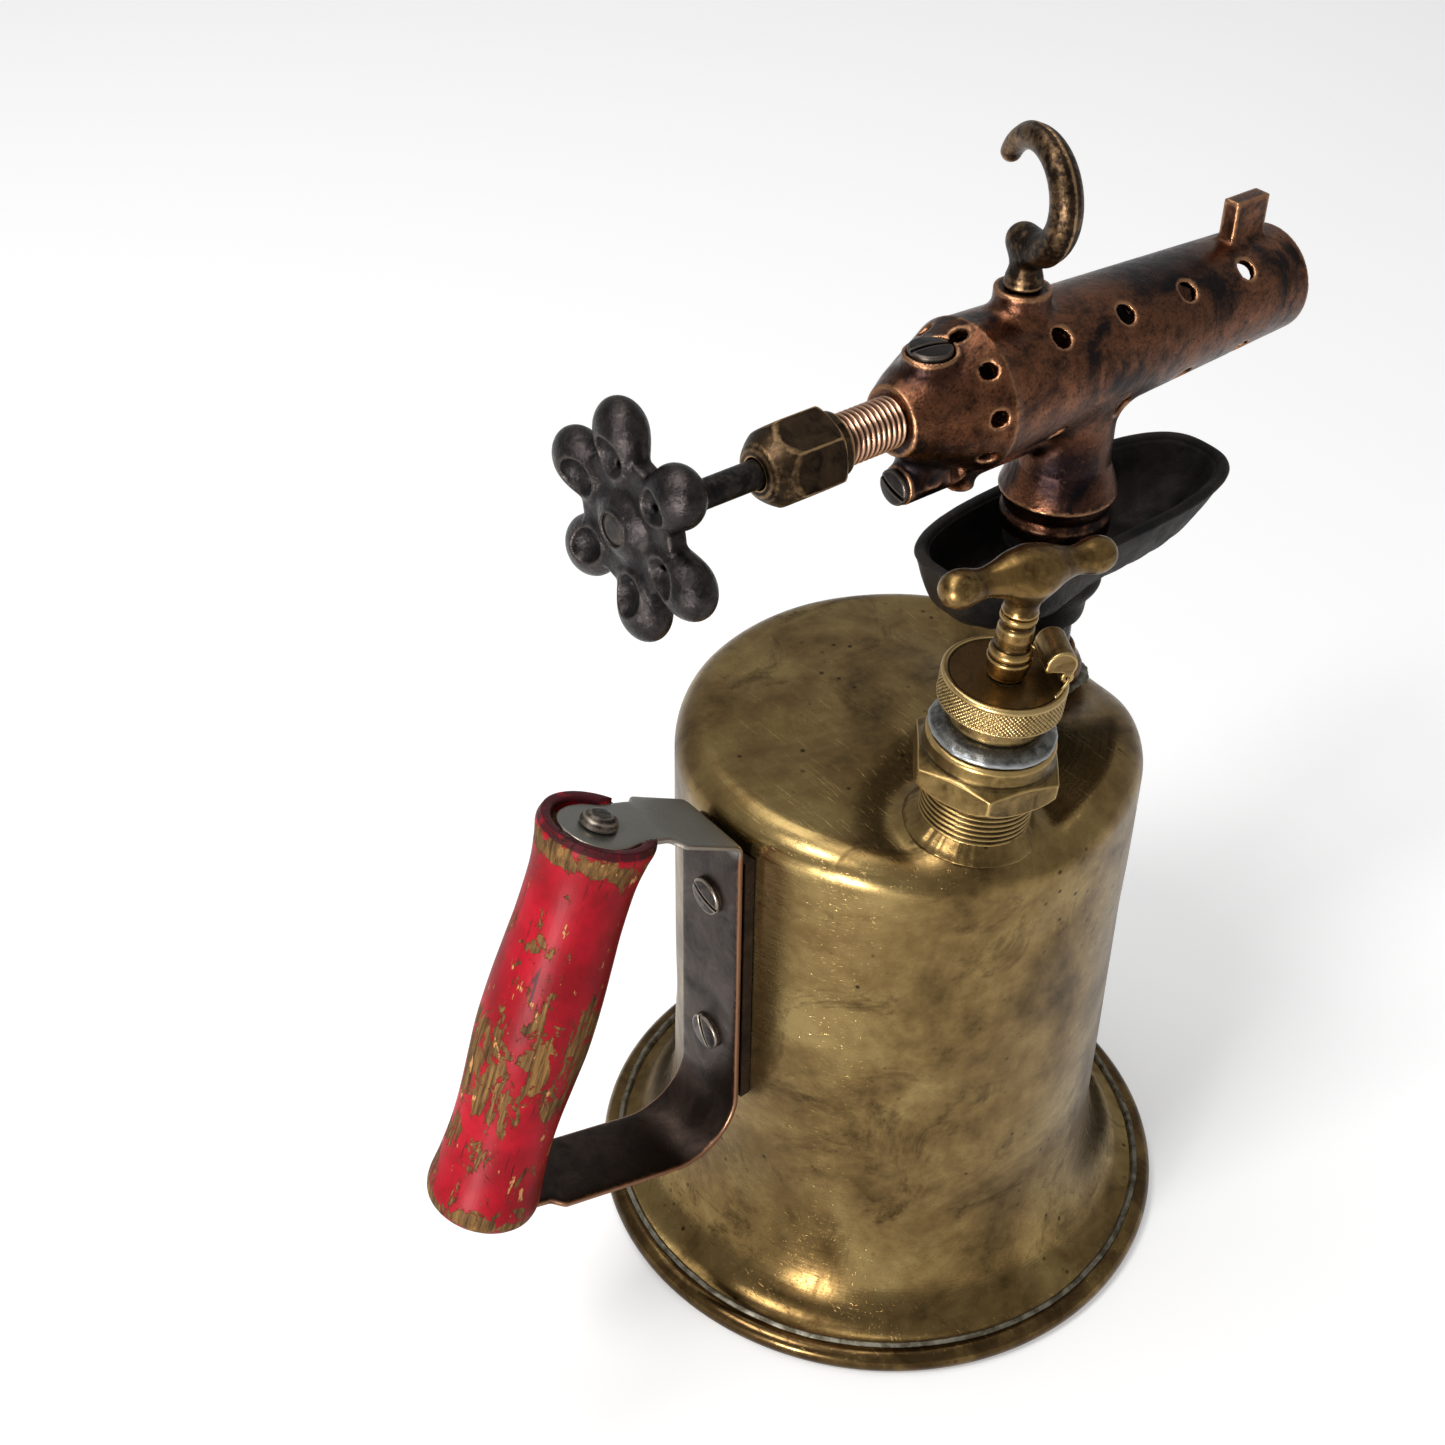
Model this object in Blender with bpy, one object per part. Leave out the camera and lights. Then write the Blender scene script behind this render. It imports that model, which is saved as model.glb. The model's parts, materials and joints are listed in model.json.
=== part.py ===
"""Brass gasoline blow torch: fuel tank, handle, air pump, priming cup and burner.

Metres, +Z up. The burner points along +X and the handle lies on the -X side. The torch stands
on Z = 0, and the origin is under the middle of its whole length, so the tank's own axis is moved
along X by the value that tank_offset() works out.
"""
import bpy
import bmesh
import numpy as np
from math import atan2, cos, degrees, hypot, pi, radians, sin, sqrt, tan
from mathutils import Matrix, Vector

# Clearances and modelling values
GAP = 0.0003                    # between pieces that touch or seat on each other
CUT_OVERRUN = 0.002             # how far a cutter runs past the face it opens
WELD_DISTANCE = 0.000001        # joins the two ends of a turned profile
TANK_SIDES = 30
LARGE_SIDES = 20
ROUND_SIDES = 16
SMALL_SIDES = 10
DRILL_SIDES = 8
HEX_SIDES = 6
NUT_SIDES = 3 * HEX_SIDES

# Fuel tank
TANK_RADIUS = 0.051
TANK_HEIGHT = 0.1407
SHELL_WALL = 0.0008
SHOULDER_RADIUS = 0.0077
TOP_CROWN = 0.001
FLARE_HEIGHT = 0.038            # where the wall starts to flare
FOOT_RADIUS = 0.0696            # outside of the rolled bead
BEAD_RADIUS = 0.003
SOLE_HALF_ANGLE = 20            # degrees of the bead worn flat, each side of its lowest line
FLARE_SEAT_ANGLE = 122          # degrees round the bead where the flare's edge lands
BOTTOM_WALL = 0.001
BOTTOM_RISE = 0.009             # how far the bottom disc is dished up
BOTTOM_RING_SHARES = (0, 0.5, 0.82)

# Sunken places of the tank top, round the riser and the pump
RISER_DIP = 0.0055
RISER_DIP_FLAT = 0.009
RISER_DIP_SPREAD = 0.012
PUMP_DIP = 0.0018
PUMP_DIP_FLAT = 0.012
PUMP_DIP_SPREAD = 0.008
DIP_FADE_DEPTH = 0.022          # below the top, where the dips have died out

# Riser bush, riser pipe and supply tube
RISER_INSET = 0.0121            # of its axis inside the tank's wall
RISER_DISTANCE = TANK_RADIUS - RISER_INSET     # from the tank axis, along +X
BUSH_RADIUS = 0.0102
BUSH_RISE = 0.0023              # of its top over the tank's
BUSH_DEPTH = 0.0167             # of its foot under the tank's top
BUSH_TOP = TANK_HEIGHT + BUSH_RISE
BUSH_FOOT = TANK_HEIGHT - BUSH_DEPTH
BUSH_NECK_RADIUS = 0.0082
BUSH_ROUNDING = 0.003
PIPE_RADIUS = 0.00685
PIPE_BORE_RADIUS = 0.003
PIPE_DEPTH = 0.0104             # of its foot under the tank's top
PIPE_FOOT = TANK_HEIGHT - PIPE_DEPTH
SUPPLY_RADIUS = 0.0032
SUPPLY_BORE_RADIUS = 0.0022
SUPPLY_FOOT = 0.014
STRAINER_RADIUS = 0.005
STRAINER_WALL = 0.0012
STRAINER_HEIGHT = 0.014
STRAINER_FOOT = 0.0125

# Priming cup
CUP_HALF_LENGTH = 0.0424
CUP_HALF_WIDTH = 0.0164
CUP_SHIFT = 0.0069              # of its middle beyond the riser, along +X
CUP_CENTRE = RISER_DISTANCE + CUP_SHIFT
CUP_RIM_RISE = 0.0365           # over the tank's top
CUP_RIM_HEIGHT = TANK_HEIGHT + CUP_RIM_RISE
CUP_DEPTH = 0.0162
CUP_WALL = 0.0028
CUP_OUTLINE_POWER = 2.8
CUP_POINTS = 32
CUP_DEPTH_SHARES = (1.0, 0.94, 0.78, 0.50, 0.0)
CUP_LENGTH_SHARES = (0.46, 0.64, 0.79, 0.91, 1.0)
CUP_WIDTH_SHARES = (0.44, 0.62, 0.78, 0.91, 1.0)
CUP_HUB_RADIUS = 0.009
CUP_HUB_HEIGHT = 0.0092
CUP_HUB_CHAMFER = 0.0015
CUP_BOSS_RADIUS = 0.0108
CUP_BOSS_DROP = 0.0054          # of the boss inside under the rim
CUP_BOSS_TOP = CUP_RIM_HEIGHT - CUP_BOSS_DROP
WASHER_RADIUS = 0.0108
WASHER_HEIGHT = 0.0027

# Burner: distances along its axis from the tank axis, positive towards the muzzle
BURNER_TILT = 1                 # degrees, the muzzle lower than the wheel
MUZZLE_END = 0.098
MUZZLE_RADIUS = 0.0118
TUBE_RADIUS = 0.0153
TUBE_START = 0.0095
TUBE_WALL = 0.0022
RIDGE_RADIUS = 0.0157
RIDGE_POSITION = 0.0075
CONE_START = -0.0065
CONE_START_RADIUS = 0.0097
CAVITY_START = 0.0025
CAVITY_START_RADIUS = 0.0102
GLAND_SHOULDER = -0.0115
GLAND_SHOULDER_RADIUS = 0.0072
GLAND_RADIUS = 0.0052
GLAND_END = -0.036
GLAND_BORE_RADIUS = 0.00325
THROAT_RADIUS = 0.0018
THROAT_START = -0.008
JET_SOCKET_RADIUS = 0.0029
JET_SOCKET_DEPTH = 0.0065
AIR_HOLE_RADIUS = 0.00225
AIR_HOLE_ROWS = 4
AIR_HOLE_PHASE = 39.5           # degrees from straight up, towards -Y
AIR_HOLE_FIRST = 0.024
AIR_HOLE_PITCH = 0.0187
AIR_HOLE_COUNT = 4
CONE_HOLE_RADIUS = 0.0017
CONE_HOLE_COUNT = 9
CONE_HOLE_PHASE = 43
CONE_HOLE_POSITION = 0.0042
COLUMN_FLANGE_RADIUS = 0.012
COLUMN_FLANGE_FOOT = CUP_BOSS_TOP + GAP + WASHER_HEIGHT + GAP
COLUMN_FLANGE_HEIGHT = 0.0042
COLUMN_FLANGE_TOP = COLUMN_FLANGE_FOOT + COLUMN_FLANGE_HEIGHT
COLUMN_GROOVE_RADIUS = 0.0114
COLUMN_GROOVE_RISE = 0.0054     # over the flange's foot, as the three below
COLUMN_GROOVE_HEIGHT = COLUMN_FLANGE_FOOT + COLUMN_GROOVE_RISE
COLUMN_BULGE_RADIUS = 0.0128
COLUMN_BULGE_RISE = 0.0094
COLUMN_BULGE_HEIGHT = COLUMN_FLANGE_FOOT + COLUMN_BULGE_RISE
COLUMN_WAIST_RADIUS = 0.0103
COLUMN_WAIST_RISE = 0.0164
COLUMN_WAIST_HEIGHT = COLUMN_FLANGE_FOOT + COLUMN_WAIST_RISE
COLUMN_BORE_DEPTH = 0.0142
COLUMN_BORE_TOP = COLUMN_FLANGE_FOOT + COLUMN_BORE_DEPTH
PIPE_TOP = COLUMN_BORE_TOP - GAP
BURNER_RISE = 0.042             # of its axis over the flange's foot, above the tank axis
BURNER_HEIGHT = COLUMN_FLANGE_FOOT + BURNER_RISE
COLUMN_TOP_DROP = 0.0111        # of the column's end under the burner's axis
COLUMN_TOP = BURNER_HEIGHT - COLUMN_TOP_DROP
FUEL_BORE_RADIUS = 0.0015
PASSAGE_BORE_RADIUS = 0.0012
PASSAGE_DROP = 0.0156           # of the lower passage under the burner axis
PASSAGE_RADIUS = 0.0041
PASSAGE_REAR = -0.008
DRAIN_RADIUS = 0.0031
DRAIN_POSITION = 0.0092
DRAIN_FOOT_DROP = 0.0215
REAR_BLOCK_RADIUS = 0.0048
TOP_BOSS_POSITION = -0.0024
TOP_BOSS_RADIUS = 0.0055
TOP_BOSS_RISE = 0.0122
HOOK_BOSS_POSITION = 0.0213
HOOK_BOSS_RADIUS = 0.0058
HOOK_BOSS_RISE = 0.0192
HOOK_SOCKET_DEPTH = 0.0042
LUG_START = 0.0815
LUG_END = 0.0915
LUG_HALF_THICKNESS = 0.002
LUG_RISE = 0.0213
LUG_CORNER = 0.002

# Slotted clean-out plugs
TOP_PLUG_HEAD_RADIUS = 0.0045
TOP_PLUG_HEAD_HEIGHT = 0.0018
TOP_PLUG_SHANK_RADIUS = 0.0026
TOP_PLUG_SHANK_LENGTH = 0.005
REAR_PLUG_HEAD_RADIUS = 0.0038
REAR_PLUG_HEAD_HEIGHT = 0.0016
REAR_PLUG_SHANK_RADIUS = 0.0022
REAR_PLUG_SHANK_LENGTH = 0.004
PLUG_SLOT_WIDTH = 0.0009
PLUG_SLOT_DEPTH = 0.0009
TOP_PLUG_TURN = -12             # degrees of the slots
REAR_PLUG_TURN = 70

# Rest hook
HOOK_BAR_RADIUS = 0.00275
HOOK_RING_RADIUS = 0.0093
HOOK_RING_RISE = 0.0401         # of the ring's centre above the burner axis
HOOK_RING_SIDE = 0.0006         # of the ring's centre towards -Y
HOOK_SHANK_RADIUS = 0.0031
HOOK_FLARE_RADIUS = 0.0044
HOOK_NECK_RADIUS = 0.0029
HOOK_FLARE_HEIGHT = 0.003
HOOK_TIP_RADIUS = 0.0021
HOOK_START_ANGLE = -112         # degrees on the ring, 0 towards +Y and 90 straight up
HOOK_END_ANGLE = -325
HOOK_STEPS = 16

# Jet, needle and spindle
JET_HEAD_RADIUS = 0.0045
JET_HEAD_LENGTH = 0.004
JET_SHANK_RADIUS = 0.0026
JET_BORE_RADIUS = 0.0016
JET_SEAT_DEPTH = 0.0012
JET_ORIFICE_RADIUS = 0.0005
NEEDLE_RADIUS = 0.0012
NEEDLE_TIP_RADIUS = 0.00015
NEEDLE_REAR = -0.009
NEEDLE_CONE_LENGTH = 0.0035
SPINDLE_RADIUS = 0.0029
SPINDLE_HEAD_RADIUS = 0.0035
SPINDLE_HEAD_HEIGHT = 0.0012
PACKING_LENGTH = 0.0042
NUT_ACROSS_FLATS = 0.0152
NUT_FRONT = -0.0258
NUT_COLLAR_RADIUS = 0.0065
NUT_COLLAR_LENGTH = 0.003
NUT_HEX_END = -0.0388
NUT_NOSE_END = -0.0448
NUT_NOSE_RADIUS = 0.0047
NUT_CORNER_CHAMFER = 0.0009
NUT_TURN = 10                   # degrees of a corner from the vertical

# Hand wheel: heights along its own axis, positive away from the burner
WHEEL_PLANE = -0.0725
WHEEL_LOBES = 6
WHEEL_LOBE_RADIUS = 0.0062
WHEEL_LOBE_FLATNESS = 0.72
WHEEL_RING_RADIUS = 0.0174
WHEEL_WEB_RADIUS = 0.0152
WHEEL_WEB_HALF_THICKNESS = 0.0028
WHEEL_HUB_RADIUS = 0.0072
WHEEL_HUB_FRONT = 0.0049
WHEEL_HUB_REAR = 0.0055
WHEEL_DISH_RADIUS = 0.0048
WHEEL_DISH_DEPTH = 0.0016
WHEEL_EYE_RING = 0.0116
WHEEL_EYE_RADIUS = 0.0024
WHEEL_EYE_WIDTH_SHARE = 1.45
WHEEL_BALL_RINGS = 6
WHEEL_PHASE = 12                # degrees

# Handle
SADDLE_WALL = 0.0016
SADDLE_DROP = 0.0082            # of its top under the tank's
SADDLE_TOP = TANK_HEIGHT - SADDLE_DROP
SADDLE_FOOT_DROP = 0.0782
SADDLE_FOOT = TANK_HEIGHT - SADDLE_FOOT_DROP
STRAP_THICKNESS = 0.0016
STRAP_HALF_WIDTH = 0.0097
STRAP_PAD_RADIUS = 0.0084
STRAP_NECK_HALF_WIDTH = 0.0073
STRAP_NECK_SHARE = 0.5          # of the pad's radius, where the neck begins
STRAP_TOP_DROP = 0.0035         # of the top corner under the tank's top
STRAP_TOP_CORNER = TANK_HEIGHT - STRAP_TOP_DROP
STRAP_LOW_DROP = 0.0955         # of the low corner, likewise
STRAP_LOW_CORNER = TANK_HEIGHT - STRAP_LOW_DROP
STRAP_TOP_BEND = 0.0026
STRAP_LOW_BEND = 0.013
STRAP_PAD_BEND = 0.006
SCREW_DROPS = (0.0224, 0.0632)  # of the two screws under the tank's top
SCREW_TURNS = (70, 25)          # degrees of the slots
SCREW_DOME_SHARES = (0.55, 0.9)
SCREW_HEAD_RADIUS = 0.0043
SCREW_HEAD_HEIGHT = 0.0014
SCREW_SHANK_RADIUS = 0.0022
SCREW_HOLE_CLEARANCE = 0.0003
SCREW_SLOT_WIDTH = 0.001
SCREW_SLOT_DEPTH = 0.0008
GRIP_REACH = 0.0481             # of the grip's middle outside the tank's wall
GRIP_DISTANCE = TANK_RADIUS + GRIP_REACH
GRIP_DROP = 0.032               # of its middle under the tank's top
GRIP_HEIGHT = TANK_HEIGHT - GRIP_DROP
GRIP_LEAN = 21.1                # degrees, the foot further out than the head
GRIP_LENGTH = 0.0945
GRIP_END_RADIUS = 0.0123
GRIP_RECESS_RADIUS = 0.0096
GRIP_TOP_RECESS = 0.0026
GRIP_LOW_RECESS = 0.0026
GRIP_BORE_RADIUS = 0.0029
GRIP_PROFILE_SHARES = (         # height and radius as shares, foot to head
    (-0.500, 0.86), (-0.484, 0.95), (-0.452, 0.985), (-0.389, 0.93), (-0.304, 0.885), (-0.220, 0.89),
    (-0.114, 0.94), (-0.029, 0.975), (0.077, 0.963), (0.183, 0.920), (0.267, 0.885), (0.373, 0.885),
    (0.440, 0.945), (0.478, 1.00), (0.500, 0.955))
BOLT_RADIUS = 0.0024
BOLT_HEAD_RADIUS = 0.004
BOLT_HEAD_HEIGHT = 0.0026
BOLT_DOME_SHARES = ((0, 1), (0.5, 0.9), (0.85, 0.6), (1, 0.25), (1, 0))
BOLT_TAIL = 0.0015
BOLT_NUT_FLATS = 0.0085
BOLT_NUT_HEIGHT = 0.004

# Air pump: heights along its own axis from the tank top
PUMP_INSET = 0.01532466         # of its foot inside the tank's wall
PUMP_AZIMUTH = -111.026         # degrees from +X, where it stands round the tank's axis
PUMP_X = (TANK_RADIUS - PUMP_INSET) * cos(radians(PUMP_AZIMUTH))
PUMP_Y = (TANK_RADIUS - PUMP_INSET) * sin(radians(PUMP_AZIMUTH))
PUMP_LEAN = 5.5                 # degrees
PUMP_LEAN_AZIMUTH = -38.5       # degrees, the way the pump leans
NECK_RADIUS = 0.0116
NECK_BORE_RADIUS = 0.0097
NECK_FOOT = -0.008
NECK_TOP = 0.0155
PUMP_NUT_FLATS = 0.0282
PUMP_NUT_TURN = 27.2            # degrees to its first corner, in the pump's own frame
PUMP_NUT_FOOT = 0.0112
PUMP_NUT_CORNER_FOOT = 0.0137
PUMP_NUT_CORNER_TOP = 0.0171
PUMP_NUT_HEX_TOP = 0.0184
PUMP_NUT_COLLAR_RADIUS = 0.0133
PUMP_NUT_TOP_RADIUS = 0.0127
PUMP_NUT_FOOT_RADIUS = 0.0131
PUMP_NUT_TOP = 0.0226
GASKET_RADIUS = 0.0132
GASKET_BORE_RADIUS = 0.0086
GASKET_HEIGHT = 0.0028
GASKET_SLOPE = 0.0009
CAP_NECK_RADIUS = 0.0094
CAP_NECK_HEIGHT = 0.0043
CAP_RADIUS = 0.0126
CAP_HEIGHT = 0.0068
CAP_RIM_BEVEL = 0.0005
CAP_DISH_RADIUS = 0.0108
CAP_DISH_DEPTH = 0.0004
CAP_SPIGOT_RADIUS = 0.008
CAP_SPIGOT_DEPTH = 0.0115
CAP_BORE_RADIUS = 0.0034
BARREL_RADIUS = 0.0093
BARREL_BORE_RADIUS = 0.0083
BARREL_DEPTH = 0.080
ROD_RADIUS = 0.0031
ROD_SKIRT_RADIUS = 0.0048
ROD_SKIRT_HEIGHT = 0.004
ROD_BEAD_RADIUS = 0.0052
ROD_BEAD_HEIGHT = 0.0034
ROD_STEM_RADIUS = 0.0043
ROD_STEM_HEIGHT = 0.007
ROD_SHOULDER_RISE = 0.014       # of its lower shoulder over the barrel's foot
ROD_SHOULDER_DEPTH = BARREL_DEPTH - ROD_SHOULDER_RISE
ROD_SPIGOT_RADIUS = 0.002
ROD_SPIGOT_LENGTH = 0.0098
PLUNGER_WASHER_RADIUS = 0.0065
PLUNGER_WASHER_HEIGHT = 0.0014
LEATHER_RADIUS = 0.008
LEATHER_WALL = 0.0012
LEATHER_SKIRT = 0.0055
PLUNGER_NUT_FLATS = 0.0068
PLUNGER_NUT_HEIGHT = 0.0032
TEE_STEM_RADIUS = 0.0035
TEE_STEM_HEIGHT = 0.0078
TEE_HALF_LENGTH = 0.0158
TEE_BALL_RADIUS = 0.0046
TEE_ARM_RADIUS = 0.0033
TEE_MIDDLE_RADIUS = 0.0052
TEE_ARM_SHARES = (0.62, 0.48)   # of the half length, where the bar is thinnest
TEE_BULGE_SHARES = (0.2, 0.9)   # of the half length and of the middle's radius
TEE_FOOT_SHARES = ((0.86, 0.45), (1.08, 0.35))
TEE_AZIMUTH = 35.5              # degrees, in the pump's own frame

# Rod catch on the cap: radial places and heights above the cap
CATCH_AZIMUTH = 9.5             # degrees, in the pump's own frame
CATCH_PIVOT_RING = 0.0109
CATCH_PIVOT_HEIGHT = 0.0018
CATCH_KNUCKLE_RADIUS = 0.0013
CATCH_THICKNESS = 0.0018
CATCH_ARCH_RADIUS = 0.0031
CATCH_ARCH_HEIGHT = 0.0037
CATCH_HALF_WIDTH = 0.0046
CATCH_BORE_RADIUS = 0.0006
WIRE_RADIUS = 0.00028
WIRE_TAIL_ANGLE = 62            # degrees round the cap that the wire's tail lies on
WIRE_FAR_END = 0.0052
WIRE_STEPS = 7

# Check valve at the barrel's foot: depths below the barrel
VALVE_FLANGE_HEIGHT = 0.003
VALVE_RADIUS = 0.006
VALVE_HEIGHT = 0.0145
VALVE_INLET_RADIUS = 0.0016
VALVE_INLET_DEPTH = 0.004
VALVE_CHAMBER_RADIUS = 0.0032
VALVE_PLUG_HEIGHT = 0.002
VALVE_PLUG_BORE_RADIUS = 0.001
BALL_RADIUS = 0.0024
SPRING_WIRE_RADIUS = 0.0003
SPRING_RADIUS = 0.0018
SPRING_TURNS = 4
SPRING_POINTS_PER_TURN = 8
SPRING_SIDES = 4

COLOURS = {                     # linear base colour, metallic, roughness
    "aged_brass": ((0.42, 0.31, 0.13), 1.0, 0.38),
    "bright_brass": ((0.52, 0.38, 0.16), 1.0, 0.33),
    "bronze": ((0.36, 0.19, 0.11), 1.0, 0.42),
    "cast_iron": ((0.030, 0.027, 0.025), 0.6, 0.62),
    "dark_steel": ((0.10, 0.085, 0.078), 0.9, 0.45),
    "lead": ((0.30, 0.31, 0.32), 0.9, 0.45),
    "red_wood": ((0.42, 0.02, 0.03), 0.0, 0.42),
    "leather": ((0.12, 0.07, 0.04), 0.0, 0.7),
    "packing": ((0.05, 0.05, 0.05), 0.0, 0.85),
    "bright_steel": ((0.55, 0.55, 0.55), 1.0, 0.3),
}


def clear_scene():
    """Remove every object and mesh that the file holds."""
    for item in list(bpy.data.objects):
        bpy.data.objects.remove(item, do_unlink=True)
    for mesh in list(bpy.data.meshes):
        bpy.data.meshes.remove(mesh)


def material(name):
    """A Principled material with one of the named finishes."""
    found = bpy.data.materials.get(name)
    if found:
        return found
    colour, metallic, roughness = COLOURS[name]
    made = bpy.data.materials.new(name)
    made.use_nodes = True
    shader = made.node_tree.nodes["Principled BSDF"]
    shader.inputs["Base Color"].default_value = (*colour, 1.0)
    shader.inputs["Metallic"].default_value = metallic
    shader.inputs["Roughness"].default_value = roughness
    made.diffuse_color = (*colour, 1.0)
    return made


def frame(name, location, rotation=(0, 0, 0), parent=None):
    """An empty that carries the pieces of one axis."""
    made = bpy.data.objects.new(name, None)
    bpy.context.collection.objects.link(made)
    made.location = location
    made.rotation_euler = rotation
    made.parent = parent
    return made


def place(name, bm, finish, parent, location=(0, 0, 0), rotation=(0, 0, 0), sharp=35):
    """Turn a bmesh into a named object, shaded smooth but for its sharp edges."""
    bmesh.ops.recalc_face_normals(bm, faces=bm.faces)
    mesh = bpy.data.meshes.new(name)
    bm.to_mesh(mesh)
    bm.free()
    mesh.shade_smooth()
    mesh.set_sharp_from_angle(angle=radians(sharp))
    made = bpy.data.objects.new(name, mesh)
    bpy.context.collection.objects.link(made)
    made.location = location
    made.rotation_euler = rotation
    made.parent = parent
    if finish:
        made.data.materials.append(material(finish))
    else:
        made.hide_render = True
        made.display_type = 'WIRE'
    return made


def arc(radius, height, size, start, end, steps):
    """Points of a round stretch of a profile: centre, size and two angles in degrees."""
    angles = [radians(start + (end - start) * i / steps) for i in range(steps + 1)]
    return [(radius + size * cos(a), height + size * sin(a)) for a in angles]


def turned_mesh(profile, sides, closed=False):
    """Spin (radius, height) points round Z. A closed profile makes a ring."""
    bm = bmesh.new()
    points = [bm.verts.new((max(r, 0), 0, z)) for r, z in profile]
    loop = points + points[:1] if closed else points
    edges = [bm.edges.new(pair) for pair in zip(loop, loop[1:])]
    bmesh.ops.spin(bm, geom=points + edges, cent=(0, 0, 0), axis=(0, 0, 1), dvec=(0, 0, 0),
                   angle=2 * pi, steps=sides, use_merge=True, use_duplicate=False)
    bmesh.ops.remove_doubles(bm, verts=bm.verts, dist=WELD_DISTANCE)
    return bm


def turned(name, profile, finish, parent, sides=ROUND_SIDES, closed=False, **where):
    """A lathe-turned piece."""
    return place(name, turned_mesh(profile, sides, closed), finish, parent, **where)


def rod_mesh(radius, low, high, sides):
    """A plain round bar along Z."""
    return turned_mesh([(0, high), (radius, high), (radius, low), (0, low)], sides)


def tube_profile(bore, radius, low, high):
    """Closed profile of a plain tube."""
    return [(bore, low), (radius, low), (radius, high), (bore, high)]


def prism_mesh(flats, low, high):
    """A hexagonal bar along Z, sized across its flats."""
    bm = bmesh.new()
    reach = flats / 2 / cos(pi / HEX_SIDES)
    angles = [2 * pi * i / HEX_SIDES for i in range(HEX_SIDES)]
    ring = [bm.verts.new((reach * cos(a), reach * sin(a), low)) for a in angles]
    face = bm.faces.new(ring)
    raised = bmesh.ops.extrude_face_region(bm, geom=[face])
    verts = [item for item in raised["geom"] if isinstance(item, bmesh.types.BMVert)]
    bmesh.ops.translate(bm, verts=verts, vec=(0, 0, high - low))
    return bm


def box_mesh(low, high):
    """A block between two corners."""
    bm = bmesh.new()
    bmesh.ops.create_cube(bm, size=1)
    size = Vector(high) - Vector(low)
    middle = (Vector(high) + Vector(low)) / 2
    bmesh.ops.transform(bm, matrix=Matrix.Translation(middle) @ Matrix.Diagonal((*size, 1)), verts=bm.verts)
    return bm


def bridge_rings(rings, caps=True):
    """Skin a list of equal rings of points into a closed body."""
    bm = bmesh.new()
    rows = [[bm.verts.new(point) for point in ring] for ring in rings]
    count = len(rows[0])
    for below, above in zip(rows, rows[1:]):
        for i in range(count):
            j = (i + 1) % count
            bm.faces.new((below[i], below[j], above[j], above[i]))
    if caps:
        bm.faces.new(list(reversed(rows[0])))
        bm.faces.new(rows[-1])
    return bm


def swept_mesh(stations, sides, side_axis):
    """A round bar of changing radius along a path that stays square to side_axis."""
    points = [Vector(point) for point, radius in stations]
    across = Vector(side_axis)
    rings = []
    for i, (point, radius) in enumerate(stations):
        ahead = points[min(i + 1, len(points) - 1)] - points[max(i - 1, 0)]
        up = ahead.normalized().cross(across).normalized()
        angles = [2 * pi * k / sides for k in range(sides)]
        rings.append([points[i] + radius * (cos(a) * across + sin(a) * up) for a in angles])
    return bridge_rings(rings)


def boolean(target, tool, operation):
    """Join, cut or trim a piece with a guide body, which stays as a hidden guide."""
    step = target.modifiers.new(operation.lower() + "_" + tool.name, 'BOOLEAN')
    step.operation = operation
    step.object = tool
    step.solver = 'EXACT'
    return target


def cut(target, *tools):
    for tool in tools:
        boolean(target, tool, 'DIFFERENCE')


def join(target, *tools):
    for tool in tools:
        boolean(target, tool, 'UNION')


def guide(name, bm, parent, **where):
    """A body that only cuts or joins others."""
    return place(name + "_guide", bm, None, parent, **where)


def merged(meshes):
    """Put several separate bmeshes into one."""
    whole = bmesh.new()
    for part in meshes:
        holder = bpy.data.meshes.new("holder")
        part.to_mesh(holder)
        part.free()
        whole.from_mesh(holder)
        bpy.data.meshes.remove(holder)
    return whole


def moved(bm, matrix):
    bmesh.ops.transform(bm, matrix=matrix, verts=bm.verts)
    return bm


def slot_guide(name, radius, width, depth, top, parent, **where):
    """The saw cut across a screw head whose outer face is at top."""
    reach = radius + CUT_OVERRUN
    cutter = box_mesh((-reach, -width / 2, top - depth), (reach, width / 2, top + CUT_OVERRUN))
    return guide(name, cutter, parent, **where)


def grip_direction():
    """Unit vectors in the X-Z plane: up the grip, and square to it towards the tank."""
    lean = radians(GRIP_LEAN)
    return Vector((sin(lean), 0, cos(lean))), Vector((cos(lean), 0, -sin(lean)))


def tank_offset():
    """X of the tank axis that puts the middle of the whole length at the origin."""
    lean = radians(GRIP_LEAN)
    reach = max(GRIP_DISTANCE - GRIP_LENGTH * height * sin(lean) + GRIP_END_RADIUS * size * cos(lean)
                for height, size in GRIP_PROFILE_SHARES)
    tilt = radians(BURNER_TILT)
    return (reach - MUZZLE_END * cos(tilt) - MUZZLE_RADIUS * sin(tilt)) / 2


def dip_depth(x, y, z):
    """How far the tank top is sunk at a point: a flat round floor that blends out smoothly."""
    total = 0
    for place_x, place_y, depth, flat, spread in (
            (RISER_DISTANCE, 0, RISER_DIP, RISER_DIP_FLAT, RISER_DIP_SPREAD),
            (PUMP_X, PUMP_Y, PUMP_DIP, PUMP_DIP_FLAT, PUMP_DIP_SPREAD)):
        away = max(hypot(x - place_x, y - place_y) - flat, 0) / spread
        total += depth * np.exp(-away * away)
    fade = min(max((z - TANK_HEIGHT + DIP_FADE_DEPTH) / DIP_FADE_DEPTH, 0), 1)
    return total * fade * fade * (3 - 2 * fade)


def bead_centre():
    """Radius and height of the middle of the rolled bead, whose sole is worn flat at Z = 0."""
    return FOOT_RADIUS - BEAD_RADIUS, BEAD_RADIUS * cos(radians(SOLE_HALF_ANGLE))


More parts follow.
